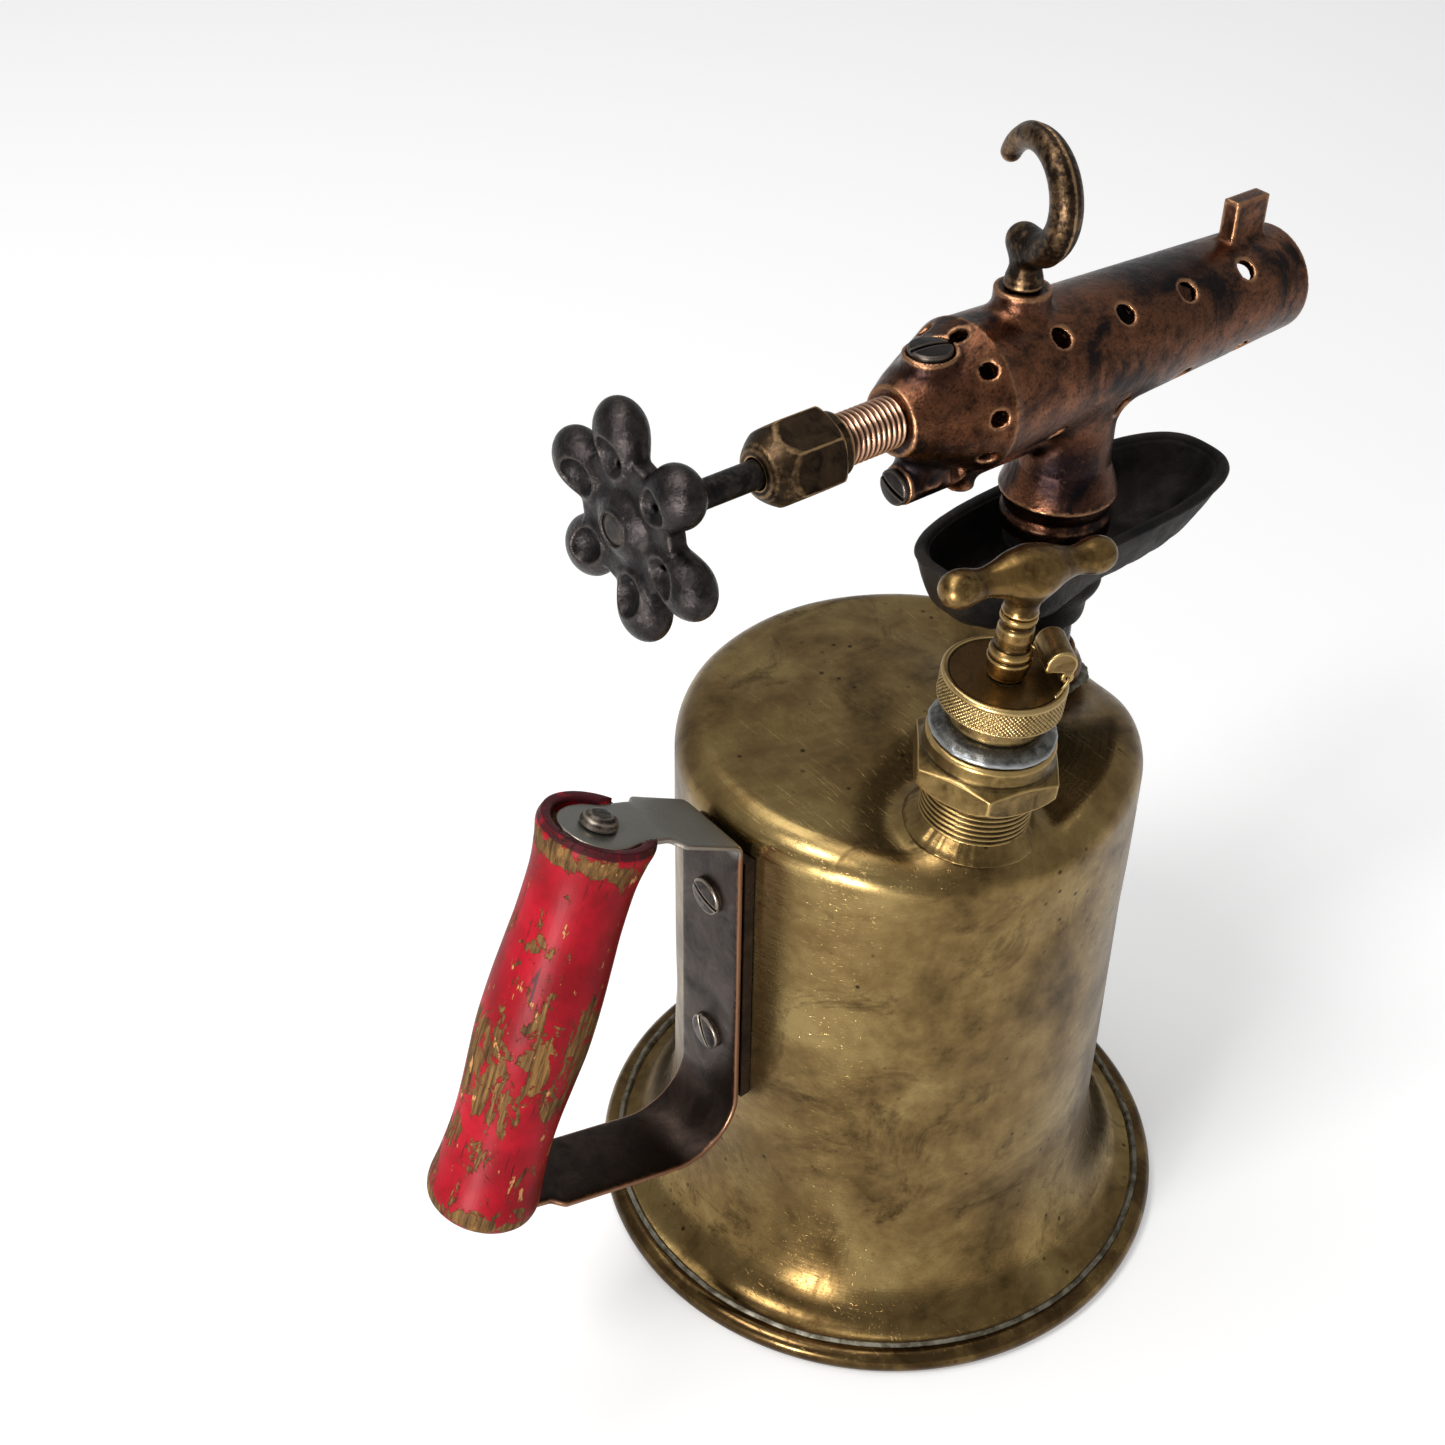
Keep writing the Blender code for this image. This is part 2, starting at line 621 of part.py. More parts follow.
def build_tank(tank):
    bead_radius, bead_height = bead_centre()
    seat = radians(FLARE_SEAT_ANGLE)
    edge_radius = bead_radius + (BEAD_RADIUS + GAP) * cos(seat)
    edge_height = bead_height + (BEAD_RADIUS + GAP) * sin(seat)
    crown = TANK_HEIGHT + TOP_CROWN
    flat = TANK_RADIUS - SHOULDER_RADIUS

    def wall_profile(inset, top_steps, shoulder_steps, flare_steps):
        """Top centre to the edge of the flare, set in by a wall thickness."""
        points = []
        for i in range(top_steps):
            share = i / top_steps
            points.append((flat * share, crown - TOP_CROWN * share * share - inset))
        points += arc(flat, TANK_HEIGHT - SHOULDER_RADIUS, SHOULDER_RADIUS - inset, 90, 0, shoulder_steps)
        spread = edge_radius - TANK_RADIUS
        for i in range(flare_steps + 1):
            turn = pi / 2 * i / flare_steps
            points.append((TANK_RADIUS + spread * (1 - cos(turn)) - inset,
                           FLARE_HEIGHT - (FLARE_HEIGHT - edge_height) * sin(turn)))
        return points

    outside = wall_profile(0, 7, 4, 6)
    inside = wall_profile(SHELL_WALL, 7, 2, 3)
    shell_mesh = turned_mesh(outside + inside[::-1], TANK_SIDES)
    for vert in shell_mesh.verts:
        vert.co.z -= dip_depth(*vert.co)
    shell = place("tank_shell", shell_mesh, "aged_brass", tank)

    lift = BOTTOM_RISE
    disc_edge = bead_radius - BEAD_RADIUS
    rim = arc(bead_radius, bead_height, BEAD_RADIUS, 172, -90 + SOLE_HALF_ANGLE, 6)
    rim += arc(bead_radius, bead_height, BEAD_RADIUS, -90 - SOLE_HALF_ANGLE, -166, 2)
    above = [(disc_edge * s, bead_height + lift * (1 - s * s) + BOTTOM_WALL / 2) for s in BOTTOM_RING_SHARES]
    below = [(radius, height - BOTTOM_WALL) for radius, height in above[::-1]]
    turned("tank_bottom", above + rim + below, "aged_brass", tank, sides=TANK_SIDES)
    return shell


def build_riser(tank, shell):
    riser = frame("riser_axis", (RISER_DISTANCE, 0, 0), parent=tank)
    hole = guide("riser_hole", rod_mesh(BUSH_RADIUS + GAP, BUSH_FOOT, BUSH_TOP + CUT_OVERRUN, LARGE_SIDES),
                 riser)
    cut(shell, hole)
    bore = PIPE_RADIUS + GAP
    ledge = PIPE_FOOT - GAP
    low_bore = SUPPLY_RADIUS + GAP
    profile = [(low_bore, BUSH_FOOT), (BUSH_RADIUS, BUSH_FOOT)]
    profile += arc(BUSH_RADIUS - BUSH_ROUNDING, BUSH_TOP - 2 * BUSH_ROUNDING, BUSH_ROUNDING, 0, 70, 4)
    profile += [(BUSH_NECK_RADIUS, BUSH_TOP), (bore, BUSH_TOP), (bore, ledge), (low_bore, ledge)]
    turned("riser_bush", profile, "bright_brass", riser, sides=LARGE_SIDES, closed=True)
    turned("riser_pipe", tube_profile(PIPE_BORE_RADIUS, PIPE_RADIUS, PIPE_FOOT, PIPE_TOP), "dark_steel",
           riser, closed=True)
    supply_top = PIPE_FOOT - 2 * GAP
    turned("supply_tube", tube_profile(SUPPLY_BORE_RADIUS, SUPPLY_RADIUS, SUPPLY_FOOT, supply_top),
           "aged_brass", riser, sides=SMALL_SIDES, closed=True)
    strainer_bore = STRAINER_RADIUS - STRAINER_WALL
    top = STRAINER_FOOT + STRAINER_HEIGHT
    neck = SUPPLY_RADIUS + GAP
    turned("supply_strainer", [
        (0, STRAINER_FOOT), (STRAINER_RADIUS, STRAINER_FOOT), (STRAINER_RADIUS, top), (neck, top),
        (neck, top - STRAINER_WALL), (strainer_bore, top - STRAINER_WALL),
        (strainer_bore, STRAINER_FOOT + STRAINER_WALL), (0, STRAINER_FOOT + STRAINER_WALL)],
        "bright_brass", riser, sides=SMALL_SIDES)
    build_cup(riser)
    washer_foot = CUP_BOSS_TOP + GAP
    turned("riser_washer", tube_profile(bore, WASHER_RADIUS, washer_foot, COLUMN_FLANGE_FOOT - GAP),
           "packing", riser, closed=True)
    return riser


def cup_ring(inset, depth_share, length_share, width_share):
    """One level line of the cup: a squared-off oval, smaller further down."""
    depth = CUP_DEPTH - inset
    height = CUP_RIM_HEIGHT - depth * depth_share
    half_length = CUP_HALF_LENGTH * length_share - inset
    half_width = CUP_HALF_WIDTH * width_share - inset
    ring = []
    for i in range(CUP_POINTS):
        a = 2 * pi * i / CUP_POINTS
        x = abs(cos(a)) ** (2 / CUP_OUTLINE_POWER) * (1 if cos(a) > 0 else -1)
        y = abs(sin(a)) ** (2 / CUP_OUTLINE_POWER) * (1 if sin(a) > 0 else -1)
        ring.append((CUP_CENTRE - RISER_DISTANCE + half_length * x, half_width * y, height))
    return ring


def build_cup(riser):
    levels = list(zip(CUP_DEPTH_SHARES, CUP_LENGTH_SHARES, CUP_WIDTH_SHARES))
    rings = [cup_ring(0, *level) for level in levels]
    rings += [cup_ring(CUP_WALL, *level) for level in reversed(levels)]
    cup = place("priming_cup", bridge_rings(rings), "cast_iron", riser, sharp=50)
    floor = CUP_RIM_HEIGHT - CUP_DEPTH
    hub_foot = floor - CUP_HUB_HEIGHT
    hub = guide("cup_hub", turned_mesh([
        (0, CUP_BOSS_TOP), (CUP_BOSS_RADIUS, CUP_BOSS_TOP), (CUP_BOSS_RADIUS, floor + CUP_WALL / 2),
        (CUP_HUB_RADIUS, floor + CUP_WALL / 2), (CUP_HUB_RADIUS, hub_foot + CUP_HUB_CHAMFER),
        (CUP_HUB_RADIUS - CUP_HUB_CHAMFER / 2, hub_foot), (0, hub_foot)], ROUND_SIDES), riser)
    bore = guide("cup_bore", rod_mesh(PIPE_RADIUS + GAP, hub_foot - CUT_OVERRUN, CUP_BOSS_TOP + CUT_OVERRUN,
                                      ROUND_SIDES), riser)
    join(cup, hub)
    cut(cup, bore)


def hole_ring(radius, reach, count, phase, positions):
    """Radial drillings through the wall round the burner axis, which is the local Z."""
    drills = []
    for position in positions:
        for k in range(count):
            turn = radians(phase + 360 * k / count)
            drill = rod_mesh(radius, reach / 2, reach, DRILL_SIDES)
            aim = Matrix.Translation((0, 0, position)) @ Matrix.Rotation(pi + turn, 4, 'Z')
            aim = aim @ Matrix.Rotation(pi / 2, 4, 'Y')
            drills.append(moved(drill, aim))
    return merged(drills)


def burner_profile():
    """Outside of the burner from the muzzle back to the end of the gland, solid to the axis."""
    return [(0, MUZZLE_END), (MUZZLE_RADIUS, MUZZLE_END), (TUBE_RADIUS, TUBE_START),
            (RIDGE_RADIUS, RIDGE_POSITION), (CONE_START_RADIUS, CONE_START),
            (GLAND_SHOULDER_RADIUS, GLAND_SHOULDER), (GLAND_RADIUS, GLAND_SHOULDER),
            (GLAND_RADIUS, GLAND_END), (0, GLAND_END)]


def top_plug_seat():
    """Height above the burner axis of the spot face sunk into the top boss for the plug's head."""
    return TOP_BOSS_RISE - GAP


def build_burner(tank, riser):
    burner = frame("burner_frame", (0, 0, BURNER_HEIGHT), (0, radians(BURNER_TILT), 0), tank)
    axis = frame("burner_axis", (0, 0, 0), (0, pi / 2, 0), burner)
    body = turned("burner_body", burner_profile(), "bronze", axis, sides=LARGE_SIDES)
    column = guide("column", turned_mesh([
        (0, COLUMN_TOP), (COLUMN_WAIST_RADIUS, COLUMN_TOP), (COLUMN_WAIST_RADIUS, COLUMN_WAIST_HEIGHT),
        (COLUMN_BULGE_RADIUS, COLUMN_BULGE_HEIGHT), (COLUMN_GROOVE_RADIUS, COLUMN_GROOVE_HEIGHT),
        (COLUMN_FLANGE_RADIUS, COLUMN_FLANGE_TOP), (COLUMN_FLANGE_RADIUS, COLUMN_FLANGE_FOOT),
        (0, COLUMN_FLANGE_FOOT)], ROUND_SIDES), riser)
    low_axis = frame("passage_axis", (0, 0, -PASSAGE_DROP), (0, pi / 2, 0), burner)
    passage = guide("passage", rod_mesh(PASSAGE_RADIUS, PASSAGE_REAR, RISER_DISTANCE, SMALL_SIDES), low_axis)
    boss_spot = (TOP_BOSS_POSITION, 0, 0)
    block = guide("rear_block", rod_mesh(REAR_BLOCK_RADIUS, -PASSAGE_DROP, 0, SMALL_SIDES), burner,
                  location=boss_spot)
    top_boss = guide("top_boss", rod_mesh(TOP_BOSS_RADIUS, 0, TOP_BOSS_RISE, ROUND_SIDES), burner,
                     location=boss_spot)
    drain = guide("drain_boss", turned_mesh(
        [(0, -PASSAGE_DROP)] + arc(0, DRAIN_RADIUS - DRAIN_FOOT_DROP, DRAIN_RADIUS, 0, -90, 4), SMALL_SIDES),
        burner, location=(DRAIN_POSITION, 0, 0))
    hook_spot = (HOOK_BOSS_POSITION, 0, 0)
    hook_root = MUZZLE_RADIUS
    hook_boss = guide("hook_boss", rod_mesh(HOOK_BOSS_RADIUS, hook_root, HOOK_BOSS_RISE, ROUND_SIDES), burner,
                      location=hook_spot)
    lug_mesh = box_mesh((LUG_START, -LUG_HALF_THICKNESS, MUZZLE_RADIUS - TUBE_WALL),
                        (LUG_END, LUG_HALF_THICKNESS, LUG_RISE))
    corners = [edge for edge in lug_mesh.edges
               if all(abs(vert.co.z - LUG_RISE) < WELD_DISTANCE for vert in edge.verts)
               and abs(edge.verts[0].co.x - edge.verts[1].co.x) < WELD_DISTANCE]
    bmesh.ops.bevel(lug_mesh, geom=corners, offset=LUG_CORNER, segments=3, affect='EDGES')
    lug = guide("muzzle_lug", lug_mesh, burner)
    join(body, column, passage, block, top_boss, drain, hook_boss, lug)

    muzzle_bore = MUZZLE_RADIUS - TUBE_WALL
    cavity = guide("cavity", turned_mesh([
        (0, MUZZLE_END + CUT_OVERRUN), (muzzle_bore, MUZZLE_END + CUT_OVERRUN), (muzzle_bore, MUZZLE_END),
        (TUBE_RADIUS - TUBE_WALL, TUBE_START), (CAVITY_START_RADIUS, CAVITY_START), (0, CAVITY_START)],
        LARGE_SIDES), axis)
    socket_floor = CAVITY_START - JET_SOCKET_DEPTH
    valve_bore = guide("valve_bore", turned_mesh([
        (0, CAVITY_START + CUT_OVERRUN), (JET_SOCKET_RADIUS, CAVITY_START + CUT_OVERRUN),
        (JET_SOCKET_RADIUS, socket_floor), (THROAT_RADIUS, socket_floor), (THROAT_RADIUS, THROAT_START),
        (GLAND_BORE_RADIUS, THROAT_START), (GLAND_BORE_RADIUS, GLAND_END - CUT_OVERRUN),
        (0, GLAND_END - CUT_OVERRUN)], SMALL_SIDES), axis)
    reach = RIDGE_RADIUS + CUT_OVERRUN
    air_holes = guide("air_holes", hole_ring(
        AIR_HOLE_RADIUS, reach, AIR_HOLE_ROWS, AIR_HOLE_PHASE,
        [AIR_HOLE_FIRST + AIR_HOLE_PITCH * k for k in range(AIR_HOLE_COUNT)]), axis)
    cone_holes = guide("cone_holes", hole_ring(CONE_HOLE_RADIUS, reach, CONE_HOLE_COUNT, CONE_HOLE_PHASE,
                                               [CONE_HOLE_POSITION]), axis)
    seat = top_plug_seat()
    top_socket = seat - TOP_PLUG_SHANK_LENGTH - GAP
    clear = seat + TOP_PLUG_HEAD_HEIGHT + CUT_OVERRUN
    drill = guide("cross_drilling", turned_mesh([
        (0, clear), (TOP_PLUG_HEAD_RADIUS + GAP, clear), (TOP_PLUG_HEAD_RADIUS + GAP, seat),
        (TOP_PLUG_SHANK_RADIUS + GAP, seat), (TOP_PLUG_SHANK_RADIUS + GAP, top_socket),
        (FUEL_BORE_RADIUS, top_socket), (FUEL_BORE_RADIUS, -PASSAGE_DROP), (0, -PASSAGE_DROP)],
        SMALL_SIDES), burner, location=boss_spot)
    rear_socket = PASSAGE_REAR + REAR_PLUG_SHANK_LENGTH + GAP
    low_drill = guide("low_drilling", turned_mesh([
        (0, RISER_DISTANCE), (PASSAGE_BORE_RADIUS, RISER_DISTANCE), (PASSAGE_BORE_RADIUS, rear_socket),
        (REAR_PLUG_SHANK_RADIUS + GAP, rear_socket),
        (REAR_PLUG_SHANK_RADIUS + GAP, PASSAGE_REAR - CUT_OVERRUN),
        (0, PASSAGE_REAR - CUT_OVERRUN)], DRILL_SIDES), low_axis)
    bore_top = BURNER_HEIGHT - PASSAGE_DROP - RISER_DISTANCE * tan(radians(BURNER_TILT))
    riser_bore = guide("riser_bore", turned_mesh([
        (0, bore_top), (FUEL_BORE_RADIUS, bore_top), (FUEL_BORE_RADIUS, COLUMN_BORE_TOP),
        (PIPE_RADIUS + GAP, COLUMN_BORE_TOP), (PIPE_RADIUS + GAP, COLUMN_FLANGE_FOOT - CUT_OVERRUN),
        (0, COLUMN_FLANGE_FOOT - CUT_OVERRUN)], NUT_SIDES), riser)
    hook_floor = HOOK_BOSS_RISE - HOOK_SOCKET_DEPTH
    hook_mouth = HOOK_BOSS_RISE + CUT_OVERRUN
    hook_socket = guide("hook_socket", rod_mesh(HOOK_SHANK_RADIUS + GAP, hook_floor, hook_mouth, SMALL_SIDES),
                        burner, location=hook_spot)
    cut(body, hook_socket, riser_bore, cavity, valve_bore, drill, low_drill, air_holes, cone_holes)
    build_plugs(burner, low_axis)
    build_hook(burner)
    build_valve(axis)
    return axis


def slotted_plug(name, head, head_height, shank, length, axis, turn):
    """A cheese-headed plug standing on its shank, the head's underside a gap above the seat."""
    top = GAP + head_height
    round_edge = arc(head - head_height / 2, top - head_height / 2, head_height / 2, 90, 0, 2)
    plug = turned(name, [(0, top)] + round_edge + [(head, GAP), (shank, GAP), (shank, -length), (0, -length)],
                  "dark_steel", axis, sides=SMALL_SIDES)
    cut(plug, slot_guide(name + "_slot", head, PLUG_SLOT_WIDTH, PLUG_SLOT_DEPTH, top, axis,
                         rotation=(0, 0, radians(turn))))


def build_plugs(burner, low_axis):
    top_axis = frame("plug_top_axis", (TOP_BOSS_POSITION, 0, top_plug_seat()), parent=burner)
    slotted_plug("plug_top", TOP_PLUG_HEAD_RADIUS, TOP_PLUG_HEAD_HEIGHT, TOP_PLUG_SHANK_RADIUS,
                 TOP_PLUG_SHANK_LENGTH, top_axis, TOP_PLUG_TURN)
    rear_axis = frame("plug_rear_axis", (0, 0, PASSAGE_REAR), (pi, 0, 0), low_axis)
    slotted_plug("plug_rear", REAR_PLUG_HEAD_RADIUS, REAR_PLUG_HEAD_HEIGHT, REAR_PLUG_SHANK_RADIUS,
                 REAR_PLUG_SHANK_LENGTH, rear_axis, REAR_PLUG_TURN)


def build_hook(burner):
    """The soldering-iron rest: a shank with a flared foot and an open ring across the burner."""
    boss = HOOK_BOSS_RISE + GAP
    foot = HOOK_BOSS_RISE - HOOK_SOCKET_DEPTH + GAP
    centre_y, centre_z = -HOOK_RING_SIDE, HOOK_RING_RISE
    ring_foot = centre_z - HOOK_RING_RADIUS
    neck = boss + HOOK_FLARE_HEIGHT
    stations = [((0, 0, foot), HOOK_SHANK_RADIUS), ((0, 0, boss - GAP / 2), HOOK_SHANK_RADIUS),
                ((0, 0, boss), HOOK_FLARE_RADIUS), ((0, 0, (boss + neck) / 2), HOOK_FLARE_RADIUS),
                ((0, 0, neck), HOOK_NECK_RADIUS), ((0, 0, ring_foot - HOOK_BAR_RADIUS), HOOK_NECK_RADIUS)]
    for i in range(HOOK_STEPS + 1):
        share = i / HOOK_STEPS
        a = radians(HOOK_START_ANGLE + (HOOK_END_ANGLE - HOOK_START_ANGLE) * share)
        size = HOOK_BAR_RADIUS if share < 1 else HOOK_TIP_RADIUS
        point = (0, centre_y + HOOK_RING_RADIUS * cos(a), centre_z + HOOK_RING_RADIUS * sin(a))
        stations.append((point, size))
    place("rest_hook", swept_mesh(stations, SMALL_SIDES, (1, 0, 0)), "bronze", burner,
          location=(HOOK_BOSS_POSITION, 0, 0), sharp=50)


def build_valve(axis):
    head = CAVITY_START + GAP
    face = head + JET_HEAD_LENGTH
    rear = CAVITY_START - JET_SOCKET_DEPTH + GAP
    turned("jet", [
        (JET_ORIFICE_RADIUS, face), (JET_HEAD_RADIUS - GAP, face), (JET_HEAD_RADIUS, face - GAP),
        (JET_HEAD_RADIUS, head), (JET_SHANK_RADIUS, head), (JET_SHANK_RADIUS, rear), (JET_BORE_RADIUS, rear),
        (JET_BORE_RADIUS, head), (JET_ORIFICE_RADIUS, head + JET_SEAT_DEPTH)],
        "bright_brass", axis, sides=SMALL_SIDES, closed=True)
    turn = frame("wheel_axis", (0, 0, 0), (pi, 0, 0), axis)
    spindle_front = -(NEEDLE_REAR - GAP)
    seat = head + JET_SEAT_DEPTH / 2
    turned("needle_point", [
        (0, -seat), (NEEDLE_TIP_RADIUS, -seat), (NEEDLE_RADIUS, NEEDLE_CONE_LENGTH - seat),
        (NEEDLE_RADIUS, -NEEDLE_REAR), (0, -NEEDLE_REAR)], "bright_steel", turn, sides=SMALL_SIDES)
    dish = -WHEEL_PLANE + WHEEL_HUB_FRONT - WHEEL_DISH_DEPTH
    end = dish + GAP + SPINDLE_HEAD_HEIGHT
    turned("valve_spindle", [
        (0, spindle_front), (SPINDLE_RADIUS, spindle_front), (SPINDLE_RADIUS, dish + GAP),
        (SPINDLE_HEAD_RADIUS, dish + GAP), (SPINDLE_HEAD_RADIUS - SPINDLE_HEAD_HEIGHT / 2, end - GAP),
        (0, end)],
        "dark_steel", turn, sides=SMALL_SIDES)
    packing_front = -GLAND_END + GAP
    bore = SPINDLE_RADIUS + GAP
    turned("gland_packing", tube_profile(bore, GLAND_RADIUS, packing_front, packing_front + PACKING_LENGTH),
           "packing", turn, sides=SMALL_SIDES, closed=True)
    build_packing_nut(turn, packing_front + PACKING_LENGTH + GAP, bore)
    build_wheel(turn)


def build_packing_nut(turn, floor, bore):
    """Hexagon nut with a round nose and a short collar, over the gland and its packing."""
    turn = frame("packing_nut_axis", (0, 0, 0), (0, 0, radians(NUT_TURN)), turn)
    front, back, nose = -NUT_FRONT, -NUT_HEX_END, -NUT_NOSE_END
    hex_front = front + NUT_COLLAR_LENGTH
    corner = NUT_ACROSS_FLATS / 2 / cos(pi / HEX_SIDES) + GAP
    inside = GLAND_RADIUS + GAP
    profile = [(0, front), (NUT_COLLAR_RADIUS, front), (NUT_COLLAR_RADIUS, hex_front),
               (corner - NUT_CORNER_CHAMFER, hex_front), (corner, hex_front + NUT_CORNER_CHAMFER)]
    for i in range(4):
        a = pi / 2 * i / 3
        profile.append((NUT_NOSE_RADIUS + (corner - NUT_NOSE_RADIUS) * cos(a), back + (nose - back) * sin(a)))
    profile.append((0, nose))
    nut = turned("packing_nut", profile, "bright_brass", turn, sides=NUT_SIDES)
    reach = CUT_OVERRUN
    boolean(nut, guide("packing_nut_flats", prism_mesh(NUT_ACROSS_FLATS, front - reach, nose + reach), turn),
            'INTERSECT')
    cut(nut, guide("packing_nut_bore", turned_mesh([
        (0, front - reach), (inside, front - reach), (inside, floor), (bore, floor), (bore, nose + reach),
        (0, nose + reach)], SMALL_SIDES), turn))


def build_wheel(turn):
    """Six-lobed cast hand wheel: balls round a web, an eye inside each ball and a dished hub."""
    wheel_frame = frame("wheel_plane", (0, 0, -WHEEL_PLANE), (0, 0, radians(WHEEL_PHASE)), turn)
    front, rear = WHEEL_HUB_FRONT, WHEEL_HUB_REAR
    web = WHEEL_WEB_HALF_THICKNESS
    dish = front - WHEEL_DISH_DEPTH
    fillet = (WHEEL_HUB_RADIUS + WHEEL_EYE_RING) / 2
    wheel = turned("hand_wheel", [
        (0, dish), (WHEEL_DISH_RADIUS - WHEEL_DISH_DEPTH, dish), (WHEEL_DISH_RADIUS, front),
        (WHEEL_HUB_RADIUS - GAP, front), (WHEEL_HUB_RADIUS, front - web / 3), (fillet, web),
        (WHEEL_WEB_RADIUS - web / 2, web), (WHEEL_WEB_RADIUS, web / 2), (WHEEL_WEB_RADIUS, -web / 2),
        (WHEEL_WEB_RADIUS - web / 2, -web), (fillet, -web), (WHEEL_HUB_RADIUS, -rear), (0, -rear)],
        "cast_iron", wheel_frame, sides=ROUND_SIDES, sharp=50)
    lobes, eyes = [], []
    for k in range(WHEEL_LOBES):
        a = 2 * pi * k / WHEEL_LOBES
        ball = bmesh.new()
        bmesh.ops.create_uvsphere(ball, u_segments=SMALL_SIDES, v_segments=WHEEL_BALL_RINGS,
                                  radius=WHEEL_LOBE_RADIUS)
        squash = Matrix.Diagonal((1, 1, WHEEL_LOBE_FLATNESS, 1))
        spot = Matrix.Rotation(a, 4, 'Z') @ Matrix.Translation((WHEEL_RING_RADIUS, 0, 0))
        lobes.append(moved(ball, spot @ squash))
        reach = WHEEL_LOBE_RADIUS + CUT_OVERRUN
        eye = rod_mesh(WHEEL_EYE_RADIUS, -reach, reach, DRILL_SIDES)
        spot = Matrix.Rotation(a, 4, 'Z') @ Matrix.Translation((WHEEL_EYE_RING, 0, 0))
        eyes.append(moved(eye, spot @ Matrix.Diagonal((1, WHEEL_EYE_WIDTH_SHARE, 1, 1))))
    join(wheel, guide("wheel_lobes", merged(lobes), wheel_frame))
    cut(wheel, guide("wheel_eyes", merged(eyes), wheel_frame),
        guide("wheel_bore", rod_mesh(SPINDLE_RADIUS + GAP, -rear - CUT_OVERRUN, front + CUT_OVERRUN,
                                     SMALL_SIDES), wheel_frame))


def strap_centre():
    """X of the middle of the strap's flat back."""
    return -(TANK_RADIUS + GAP + SADDLE_WALL + GAP + STRAP_THICKNESS / 2)


def pad_places():
    """Middles of the strap's two end pads on the grip axis, and the grip's middle."""
    up, inward = grip_direction()
    middle = Vector((-GRIP_DISTANCE, 0, GRIP_HEIGHT))
    half = STRAP_THICKNESS / 2 + GAP
    top = middle + up * (GRIP_LENGTH / 2 - GRIP_TOP_RECESS + half)
    low = middle - up * (GRIP_LENGTH / 2 - GRIP_LOW_RECESS + half)
    return top, low, middle


def rounded_path(points, bends, steps):
    """Points of a polyline whose inner corners are rounded to the given radii."""
    path = [points[0]]
    for before, corner, after, radius, count in zip(points, points[1:], points[2:], bends, steps):
        back = (before - corner).normalized()
        ahead = (after - corner).normalized()
        half = back.angle(ahead) / 2
        reach = radius / tan(half)
        centre = corner + (back + ahead).normalized() * radius / sin(half)
        start, end = corner + back * reach - centre, corner + ahead * reach - centre
        sweep = start.angle(end)
        for i in range(count + 1):
            share = i / count
            mixed = (start * sin((1 - share) * sweep) + end * sin(share * sweep)) / sin(sweep)
            path.append(centre + mixed)
    path.append(points[-1])
    return path


def strap_stations():
    """Centre line and half width of the strap from its top pad round to its low pad."""
    up, inward = grip_direction()
    top, low, middle = pad_places()
    x = strap_centre()
    neck = GRIP_END_RADIUS + GAP
    corners = [top, top + inward * neck, Vector((x, 0, STRAP_TOP_CORNER)), Vector((x, 0, STRAP_LOW_CORNER)),
               low + inward * neck, low]
    bends = (STRAP_PAD_BEND, STRAP_TOP_BEND, STRAP_LOW_BEND, STRAP_PAD_BEND)
    path = rounded_path(corners, bends, (1, 4, 8, 1))
    path = path[1:-1]

    def pad(centre):
        """Round end of a pad, from its tip to the neck."""
        rows = []
        for a in (8, 30, 52, 74):
            out = STRAP_PAD_RADIUS * cos(radians(a))
            rows.append((centre - inward * out, STRAP_PAD_RADIUS * sin(radians(a))))
        rows.append((centre, STRAP_PAD_RADIUS))
        rows.append((centre + inward * STRAP_PAD_RADIUS * STRAP_NECK_SHARE, STRAP_NECK_HALF_WIDTH))
        return rows

    shoulder = (path[2] - path[1]).normalized() * STRAP_THICKNESS
    low_shoulder = (path[-3] - path[-2]).normalized() * STRAP_THICKNESS
    stations = pad(top)
    stations += [(path[0], STRAP_NECK_HALF_WIDTH), (path[1], STRAP_NECK_HALF_WIDTH),
                 (path[1] + shoulder, STRAP_HALF_WIDTH)]
    stations += [(point, STRAP_HALF_WIDTH) for point in path[2:-2]]
    stations += [(path[-2] + low_shoulder, STRAP_HALF_WIDTH), (path[-2], STRAP_NECK_HALF_WIDTH),
                 (path[-1], STRAP_NECK_HALF_WIDTH)]
    stations += pad(low)[::-1]
    return stations


